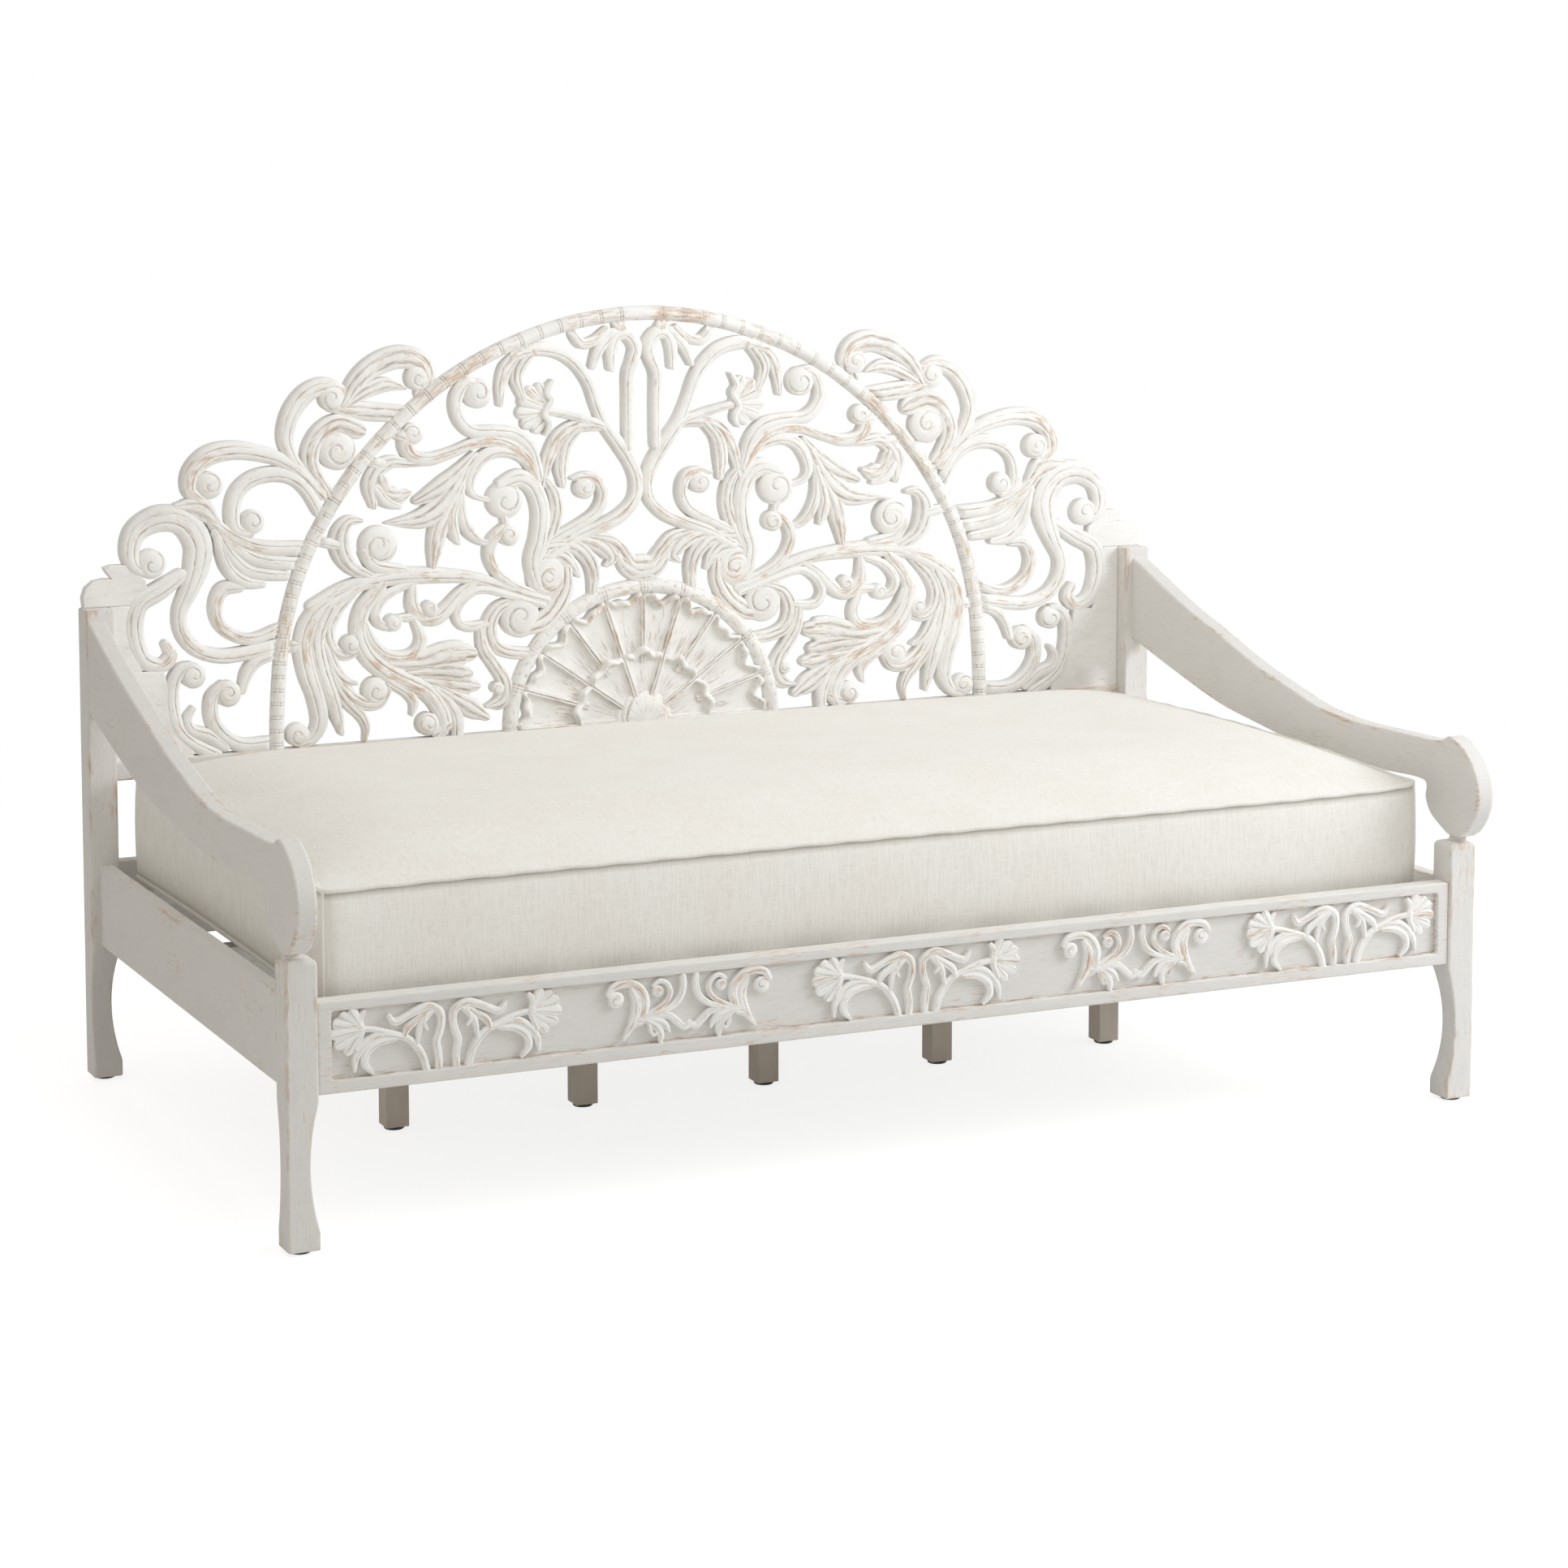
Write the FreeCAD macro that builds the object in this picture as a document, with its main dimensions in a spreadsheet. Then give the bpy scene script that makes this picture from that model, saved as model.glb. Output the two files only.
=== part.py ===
import FreeCAD, Part
import math
import os
import re
from FreeCAD import Vector

# Luohan daybed: a carved whitewashed wooden couch with a pierced back, two swept arms,
# slats on a framed base and one loose mattress.
# Frame: +X to the right, +Y to the back, +Z up, origin on the floor under the middle.

doc = FreeCAD.newDocument("luohan_daybed")
sheet = doc.addObject("Spreadsheet::Sheet", "sizes")

SIZES = [
    # whole
    ("overall_length", 2090.0),
    ("frame_depth", 1154.0),
    ("arch_top_height", 1315.0),
    ("glide_height", 6.0),
    # legs and posts
    ("leg_wide", 50.0),
    ("leg_deep", 52.0),
    ("leg_top_height", 445.0),
    ("post_wide", 50.0),
    ("post_deep", 54.0),
    ("leg_hollow", 14.0),
    ("foot_block_height", 34.0),
    ("hollow_gap_to_rail", 10.0),
    ("leg_top_round", 9.0),
    # rails
    ("rail_height", 140.0),
    ("rail_under_height", 239.0),
    ("front_rail_thick", 33.0),
    ("front_rail_setback", 4.0),
    ("front_recess_deep", 9.0),
    ("front_border_side", 22.0),
    ("front_border_top", 16.0),
    ("front_border_bottom", 20.0),
    ("side_rail_thick", 25.0),
    ("side_rail_inset", 15.0),
    ("rear_rail_thick", 30.0),
    # slats, ledgers and the centre beam
    ("ledger_thick", 25.0),
    ("ledger_high", 35.0),
    ("slat_wide", 70.0),
    ("slat_thick", 18.0),
    ("slat_count", 12.0),
    ("slat_end_gap", 3.0),
    ("beam_wide", 40.0),
    ("beam_high", 60.0),
    ("centre_leg_wide", 40.0),
    ("centre_leg_count", 5.0),
    ("centre_leg_pitch", 336.0),
    ("centre_leg_depth_place", 605.0),
    ("ledger_end_gap", 60.0),
    ("deck_drop", 25.0),
    # glides
    ("glide_radius", 17.0),
    # arms
    ("arm_thick", 33.0),
    ("arm_inset", 2.0),
    ("arm_end_top_height", 802.0),
    ("arm_end_under_height", 645.0),
    ("arm_waist_top_height", 603.0),
    ("arm_waist_under_height", 528.0),
    ("knob_radius", 80.0),
    ("knob_centre_height", 540.0),
    ("knob_overhang", 52.0),
    ("neck_radius", 15.0),
    ("neck_seat", 12.0),
    # carved back
    ("panel_thick", 28.0),
    ("carving_datum_height", 500.0),
    ("back_rail_under_height", 519.0),
    ("back_rail_top_height", 552.0),
    ("carving_facet", 1.2),
    # half rosette
    ("rosette_radius", 262.0),
    ("rosette_rim_wide", 27.0),
    ("outer_petal_setback", 7.0),
    ("outer_petal_groove", 7.0),
    ("inner_fan_radius", 112.0),
    ("inner_fan_setback", 3.0),
    ("rosette_dome_radius", 42.0),
    ("rosette_slot_long", 32.0),
    ("rosette_slot_wide", 9.0),
    # mattress
    ("mattress_side_gap", 27.0),
    ("mattress_front_place", 60.0),
    ("mattress_back_gap", 5.0),
    ("mattress_edge_high", 179.0),
    ("mattress_crown", 64.0),
    ("mattress_waist", 7.0),
    ("mattress_side_draw", 9.0),
    ("mattress_corner_radius", 25.0),
    ("mattress_edge_round", 12.0),
    ("mattress_seat_gap", 0.3),
]

DERIVED = [
    ("half_length", "overall_length / 2"),
    ("overall_depth", "frame_depth + knob_overhang"),
    ("front_y", "knob_overhang - overall_depth / 2"),
    ("back_y", "front_y + frame_depth"),
    ("post_front_y", "back_y - post_deep"),
    ("panel_y", "back_y - panel_thick"),
    ("rail_top_height", "rail_under_height + rail_height"),
    ("inner_half", "half_length - post_wide"),
    ("front_rail_y", "front_y + front_rail_setback"),
    ("front_rail_back_y", "front_rail_y + front_rail_thick"),
    ("rear_rail_y", "back_y - rear_rail_thick"),
    ("deck_height", "rail_top_height - deck_drop"),
    ("slat_under", "deck_height - slat_thick"),
    ("beam_under", "slat_under - beam_high"),
    ("beam_y", "front_y + centre_leg_depth_place"),
    ("hollow_top", "rail_under_height - hollow_gap_to_rail"),
    ("hollow_chord", "hollow_top - foot_block_height"),
    ("hollow_radius", "(hollow_chord * hollow_chord / 4 + leg_hollow * leg_hollow) / (2 * leg_hollow)"),
    ("hollow_mid", "foot_block_height + hollow_chord / 2"),
    ("neck_under", "leg_top_height - neck_seat"),
    ("side_inner", "half_length - side_rail_inset - side_rail_thick"),
]

for row, (alias, value) in enumerate(SIZES, 1):
    sheet.set("A%d" % row, alias)
    sheet.set("B%d" % row, "%g" % value)
    sheet.setAlias("B%d" % row, alias)
doc.recompute()
for row, (alias, formula) in enumerate(DERIVED, len(SIZES) + 1):
    sheet.set("A%d" % row, alias)
    sheet.set("B%d" % row, "=" + formula)
    sheet.setAlias("B%d" % row, alias)
    doc.recompute()

ALIASES = [alias for alias, value in SIZES] + [alias for alias, formula in DERIVED]
WORDS = re.compile(r"[a-z][a-z_0-9]*")
nodes = {}


def size(alias):
    """The number in the cell that has this alias."""
    return float(sheet.get(alias))


def tie(thing, prop, formula):
    """Bind one property to a formula in the sheet's aliases."""

    def word(found):
        return "sizes." + found.group(0) if found.group(0) in ALIASES else found.group(0)

    thing.setExpression(prop, WORDS.sub(word, formula))


def place(thing, x, y, z):
    tie(thing, "Placement.Base.x", x)
    tie(thing, "Placement.Base.y", y)
    tie(thing, "Placement.Base.z", z)


def board(label, long, deep, high, x, y, z):
    """A plain board whose sizes and place are formulas."""
    thing = doc.addObject("Part::Box", label)
    tie(thing, "Length", long)
    tie(thing, "Width", deep)
    tie(thing, "Height", high)
    place(thing, x, y, z)
    return thing


def rod(label, radius, high, x, y, z, axis=(0, 0, 1)):
    """A round rod standing on its place along axis."""
    thing = doc.addObject("Part::Cylinder", label)
    tie(thing, "Radius", radius)
    tie(thing, "Height", high)
    thing.Placement = FreeCAD.Placement(Vector(0, 0, 0), FreeCAD.Rotation(Vector(0, 0, 1), Vector(*axis)))
    place(thing, x, y, z)
    return thing


def cut(label, base, tool):
    thing = doc.addObject("Part::Cut", label)
    thing.Base = base
    thing.Tool = tool
    return thing


def feature(label, shape, x="0", y="0", z="0"):
    """A solid that no primitive makes, worked out from the sheet's sizes, then set in its place."""
    thing = doc.addObject("Part::Feature", label)
    thing.Shape = shape
    place(thing, x, y, z)
    return thing


def node(label, thing):
    thing.Label = label
    nodes[label] = thing
    return thing


SIDES = (("left", -1), ("right", 1))


# Legs and posts

def hollowed(label, stock, side, outward_y, wide, deep, x, y):
    """Cut the leg's two inner faces to a long shallow hollow between foot block and rail."""
    reach = "hollow_radius - leg_hollow"
    inner_x = "%s + %s" % (x, wide) if side < 0 else x
    across = rod(label + "_hollow_x", "hollow_radius", deep,
                 "%s %s (%s)" % (inner_x, "+" if side < 0 else "-", reach),
                 "%s + %s" % (y, deep), "hollow_mid", (0, -1, 0))
    inner_y = "%s + %s" % (y, deep) if outward_y < 0 else y
    along = rod(label + "_hollow_y", "hollow_radius", wide, x,
                "%s %s (%s)" % (inner_y, "+" if outward_y < 0 else "-", reach), "hollow_mid", (1, 0, 0))
    return cut(label, cut(label + "_half_cut", stock, across), along)


def rounded_top(label, leg):
    """Ease the four top edges of a front leg."""
    doc.recompute()
    shape = leg.Shape
    top = shape.BoundBox.ZMax
    slack = size("carving_facet")
    edges = [edge for edge in shape.Edges if edge.BoundBox.ZMin > top - slack]
    return feature(label, shape.makeFillet(size("leg_top_round"), edges))


def front_leg(name, side):
    label = "front_leg_" + name
    x = "-half_length" if side < 0 else "half_length - leg_wide"
    stock = board(label + "_stock", "leg_wide", "leg_deep", "leg_top_height - glide_height",
                  x, "front_y", "glide_height")
    leg = hollowed(label + "_shaft", stock, side, -1, "leg_wide", "leg_deep", x, "front_y")
    eased = rounded_top(label + "_eased", leg)
    seat = rod(label + "_seat", "neck_radius", "neck_seat", neck_x(side), "front_y + leg_deep / 2",
               "neck_under")
    node(label, cut(label, eased, seat))


def back_post(name, side):
    label = "back_post_" + name
    x = "-half_length" if side < 0 else "half_length - post_wide"
    stock = board(label + "_stock", "post_wide", "post_deep", "post_top - glide_height",
                  x, "post_front_y", "glide_height")
    node(label, hollowed(label, stock, side, 1, "post_wide", "post_deep", x, "post_front_y"))


def neck_x(side):
    middle = "half_length - arm_inset - arm_thick / 2"
    return "-(%s)" % middle if side < 0 else middle


GLIDE_FACETS = 24


def foot_glide(label, x, y):
    """A nail-on glide, as a round drawn with few facets."""
    thing = doc.addObject("Part::Prism", label)
    thing.Polygon = GLIDE_FACETS
    tie(thing, "Circumradius", "glide_radius")
    tie(thing, "Height", "glide_height")
    place(thing, x, y, "0")
    node(label, thing)


# Base frame

def front_rail():
    stock = board("front_rail_stock", "2 * (half_length - leg_wide)", "front_rail_thick", "rail_height",
                  "leg_wide - half_length", "front_rail_y", "rail_under_height")
    field = board("front_rail_field", "2 * (half_length - leg_wide - front_border_side)", "front_recess_deep",
                  "rail_height - front_border_top - front_border_bottom",
                  "leg_wide + front_border_side - half_length", "front_rail_y",
                  "rail_under_height + front_border_bottom")
    return cut("front_rail_board", stock, field)


def side_rail(name, side):
    label = "side_rail_" + name
    x = "side_rail_inset - half_length" if side < 0 else "side_inner"
    node(label, board(label, "side_rail_thick", "frame_depth - leg_deep - post_deep", "rail_height",
                      x, "front_y + leg_deep", "rail_under_height"))


def rear_rail():
    node("rear_rail", board("rear_rail", "2 * inner_half", "rear_rail_thick", "rail_height",
                            "-inner_half", "rear_rail_y", "rail_under_height"))


def ledgers():
    """Cleats on the inner faces of the front and rear rails that carry the slats."""
    long = "2 * (inner_half - ledger_end_gap)"
    x = "ledger_end_gap - inner_half"
    node("ledger_front", board("ledger_front", long, "ledger_thick", "ledger_high", x,
                               "front_rail_back_y", "slat_under - ledger_high"))
    node("ledger_back", board("ledger_back", long, "ledger_thick", "ledger_high", x,
                              "rear_rail_y - ledger_thick", "slat_under - ledger_high"))


def slats():
    """Cross slats, evenly spaced, each resting on both ledgers and on the centre beam."""
    count = int(size("slat_count"))
    pitch = "(2 * (inner_half - ledger_end_gap) - slat_wide) / (slat_count - 1)"
    for index in range(count):
        label = "slat_%02d" % (index + 1)
        x = "ledger_end_gap - inner_half + %d * %s" % (index, pitch)
        node(label, board(label, "slat_wide", "rear_rail_y - front_rail_back_y - 2 * slat_end_gap",
                          "slat_thick", x, "front_rail_back_y + slat_end_gap", "slat_under"))


def centre_support():
    """The long beam under the slats and its row of plain legs."""
    node("centre_beam", board("centre_beam", "2 * side_inner", "beam_wide", "beam_high",
                              "-side_inner", "beam_y - beam_wide / 2", "beam_under"))
    count = int(size("centre_leg_count"))
    for index in range(count):
        label = "centre_leg_%d" % (index + 1)
        middle = "(%d - (centre_leg_count - 1) / 2) * centre_leg_pitch" % index
        node(label, board(label, "centre_leg_wide", "centre_leg_wide", "beam_under - glide_height",
                          middle + " - centre_leg_wide / 2", "beam_y - centre_leg_wide / 2", "glide_height"))
        foot_glide("glide_centre_%d" % (index + 1), middle, "beam_y")


# Arms

ARM_TOP_SHARES = [(1.000, 1.000), (0.846, 0.690), (0.715, 0.470), (0.588, 0.262),
                  (0.484, 0.135), (0.400, 0.040), (0.300, 0.000), (0.196, 0.010)]
ARM_UNDER_SHARES = [(1.000, 1.000), (0.842, 0.620), (0.705, 0.330), (0.595, 0.195),
                    (0.490, 0.085), (0.385, 0.015), (0.285, 0.000), (0.190, 0.045)]
KNOB_TOP_SHARES = [(0.560, 0.870), (0.060, 1.025), (-0.510, 0.775), (-0.850, 0.410), (-1.000, 0.010)]
KNOB_FRONT_SHARES = [(-0.950, -0.430), (-0.650, -0.860), (-0.350, -1.050)]
KNOB_SAMPLES = 400
KNOB_BACK_SHARES = [(0.100, -1.050), (0.690, -0.750), (0.915, -0.440), (1.000, -0.060)]


def arm(name, side):
    """A board sawn to a long S sweep that ends in a round knob over the front leg."""
    label = "arm_" + name
    run = size("frame_depth") - size("post_deep")
    start = size("front_y")
    low, high = size("arm_waist_top_height"), size("arm_end_top_height")
    under_low, under_high = size("arm_waist_under_height"), size("arm_end_under_height")
    radius, centre = size("knob_radius"), size("knob_centre_height")
    middle = start - size("knob_overhang") + radius
    outer = size("half_length") - size("arm_inset")
    x = -outer if side < 0 else outer - size("arm_thick")

    def knob(shares):
        return [Vector(x, middle + radius * along, centre + radius * up) for along, up in shares]

    top = [Vector(x, start + run * along, low + (high - low) * up) for along, up in ARM_TOP_SHARES]
    under = [Vector(x, start + run * along, under_low + (under_high - under_low) * up)
             for along, up in ARM_UNDER_SHARES]
    upper = Part.BSplineCurve()
    upper.interpolate(top + knob(KNOB_TOP_SHARES + KNOB_FRONT_SHARES))
    middle += start - size("knob_overhang") - min(point.y for point in upper.discretize(KNOB_SAMPLES))
    upper.interpolate(top + knob(KNOB_TOP_SHARES + KNOB_FRONT_SHARES))
    lower = Part.BSplineCurve()
    lower.interpolate(under + knob(KNOB_BACK_SHARES[::-1]))
    edges = [upper.toShape(), Part.makeLine(upper.EndPoint, lower.EndPoint), lower.toShape()]
    edges.append(Part.makeLine(lower.StartPoint, upper.StartPoint))
    face = Part.Face(Part.Wire(Part.__sortEdges__(edges)))
    solid = face.extrude(Vector(size("arm_thick"), 0, 0))
    neck_top = max(upper.EndPoint.z, lower.EndPoint.z)
    foot = Vector(x + size("arm_thick") / 2, size("front_y") + size("leg_deep") / 2, size("neck_under"))
    peg = Part.makeCylinder(size("neck_radius"), neck_top + size("neck_seat") - size("neck_under"), foot)
    node(label, feature(label, solid.cut(peg)))
    node("arm_neck_" + name, feature("arm_neck_" + name, peg))


# Carved back: every stem is a centre line of hand-placed points with a breadth at each,
# in shares of the carving's module, measured from the middle and from the datum height.

WING_REACH_SHARE = 0.995
ARCH_TOP_SHARE = 0.815
POST_TOP_SHARE = 0.322

ARCH_BREADTH_SHARE = 0.028
ARCH_SHARES = [(0.698, 0.030), (0.697, 0.100), (0.693, 0.170), (0.687, 0.230), (0.675, 0.290), (0.657, 0.350),
               (0.634, 0.405), (0.606, 0.455), (0.573, 0.505), (0.535, 0.553), (0.490, 0.600), (0.437, 0.646),
               (0.380, 0.688), (0.320, 0.722), (0.255, 0.751), (0.190, 0.773), (0.120, 0.790), (0.050, 0.799),
               (0.000, 0.801)]

WING_STEM_SHARES = [
    # outer S scroll that starts in the first volute and ends at the arch
    [(0.925, 0.376, 0.014), (0.948, 0.387, 0.024), (0.957, 0.414, 0.034), (0.945, 0.450, 0.040),
     (0.905, 0.470, 0.046), (0.862, 0.462, 0.048), (0.836, 0.425, 0.050), (0.838, 0.385, 0.046),
     (0.852, 0.345, 0.034), (0.870, 0.305, 0.026), (0.866, 0.268, 0.026), (0.842, 0.238, 0.026),
     (0.805, 0.224, 0.026), (0.765, 0.224, 0.026), (0.695, 0.235, 0.026)],
    # branch beside the post with its small hook
    [(0.868, 0.368, 0.026), (0.905, 0.345, 0.034), (0.940, 0.325, 0.034), (0.952, 0.295, 0.036),
     (0.950, 0.260, 0.034), (0.935, 0.225, 0.030), (0.905, 0.213, 0.026), (0.887, 0.230, 0.024),
     (0.896, 0.250, 0.016)],
    # saddle between the first and second volutes
    [(0.872, 0.488, 0.016), (0.832, 0.484, 0.044), (0.806, 0.462, 0.020)],
    # second volute
    [(0.832, 0.500, 0.020), (0.850, 0.517, 0.026), (0.845, 0.548, 0.032), (0.815, 0.575, 0.036),
     (0.770, 0.583, 0.034), (0.720, 0.575, 0.030), (0.680, 0.560, 0.026), (0.645, 0.535, 0.024),
     (0.612, 0.500, 0.024)],
    # third volute, under the second
    [(0.742, 0.436, 0.014), (0.768, 0.446, 0.024), (0.773, 0.477, 0.028), (0.763, 0.510, 0.028),
     (0.735, 0.532, 0.028), (0.695, 0.538, 0.028), (0.660, 0.528, 0.026), (0.636, 0.505, 0.024),
     (0.615, 0.468, 0.022)],
    # palmette between the volutes and the arch
    [(0.812, 0.462, 0.020), (0.770, 0.430, 0.024), (0.720, 0.410, 0.026), (0.645, 0.405, 0.026)],
    [(0.808, 0.455, 0.020), (0.770, 0.415, 0.022), (0.725, 0.388, 0.026), (0.652, 0.378, 0.024)],
    [(0.803, 0.440, 0.020), (0.775, 0.395, 0.024), (0.740, 0.367, 0.024), (0.678, 0.358, 0.018)],
    [(0.800, 0.430, 0.018), (0.785, 0.380, 0.024), (0.755, 0.352, 0.024), (0.722, 0.346, 0.014)],
    # open hook under the palmette
    [(0.764, 0.343, 0.020), (0.793, 0.340, 0.026), (0.806, 0.310, 0.024), (0.798, 0.278, 0.022),
     (0.770, 0.256, 0.022), (0.735, 0.250, 0.020), (0.685, 0.268, 0.020)],
    # scroll beside the stile, sprout, low volute and its link
    [(0.852, 0.210, 0.014), (0.870, 0.204, 0.022), (0.884, 0.180, 0.024), (0.886, 0.140, 0.026),
     (0.876, 0.100, 0.026), (0.850, 0.072, 0.024), (0.810, 0.050, 0.024)],
    [(0.850, 0.134, 0.010), (0.860, 0.116, 0.016), (0.852, 0.096, 0.022), (0.822, 0.084, 0.024),
     (0.795, 0.064, 0.020)],
    [(0.796, 0.172, 0.016), (0.815, 0.150, 0.024), (0.814, 0.110, 0.026), (0.790, 0.078, 0.026),
     (0.755, 0.062, 0.026), (0.695, 0.066, 0.022)],
    [(0.760, 0.160, 0.014), (0.751, 0.190, 0.022), (0.730, 0.212, 0.022), (0.690, 0.224, 0.020)],
    # fourth volute and the double roll inside it
    [(0.572, 0.682, 0.018), (0.600, 0.690, 0.030), (0.635, 0.678, 0.034), (0.663, 0.645, 0.034),
     (0.675, 0.605, 0.030), (0.668, 0.575, 0.026), (0.650, 0.545, 0.022), (0.610, 0.505, 0.020)],
    [(0.545, 0.611, 0.036), (0.580, 0.622, 0.036), (0.613, 0.605, 0.034), (0.630, 0.570, 0.034),
     (0.622, 0.535, 0.028), (0.592, 0.490, 0.022)],
    # top scroll that lands on the arch, and two leaves under it
    [(0.568, 0.660, 0.020), (0.545, 0.695, 0.032), (0.510, 0.722, 0.040), (0.465, 0.736, 0.042),
     (0.428, 0.727, 0.040), (0.413, 0.700, 0.034), (0.425, 0.672, 0.022)],
    [(0.565, 0.654, 0.014), (0.525, 0.678, 0.026), (0.488, 0.688, 0.026), (0.455, 0.680, 0.006)],
    [(0.590, 0.652, 0.020), (0.530, 0.642, 0.034), (0.462, 0.636, 0.030)],
]
WING_EYE_SHARES = [(0.920, 0.392, 0.026), (0.814, 0.524, 0.024), (0.738, 0.456, 0.021), (0.848, 0.192, 0.022),
                   (0.786, 0.156, 0.023), (0.590, 0.668, 0.023), (0.581, 0.575, 0.035), (0.430, 0.698, 0.023)]
WING_PLATE_SHARES = [
    # stile beside the post
    [(0.995, 0.322), (0.950, 0.322), (0.956, 0.260), (0.940, 0.205), (0.900, 0.205), (0.890, 0.150),
     (0.884, 0.100), (0.850, 0.065), (0.850, 0.040), (0.995, 0.040)],
    # end scroll and leaf tip that sit on the post
    [(1.040, 0.322), (1.042, 0.340), (1.036, 0.357), (1.022, 0.368), (1.004, 0.371), (0.990, 0.370),
     (1.000, 0.382), (1.004, 0.390), (0.990, 0.394), (0.962, 0.393), (0.930, 0.365), (0.925, 0.330),
     (0.950, 0.322)],
]

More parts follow.
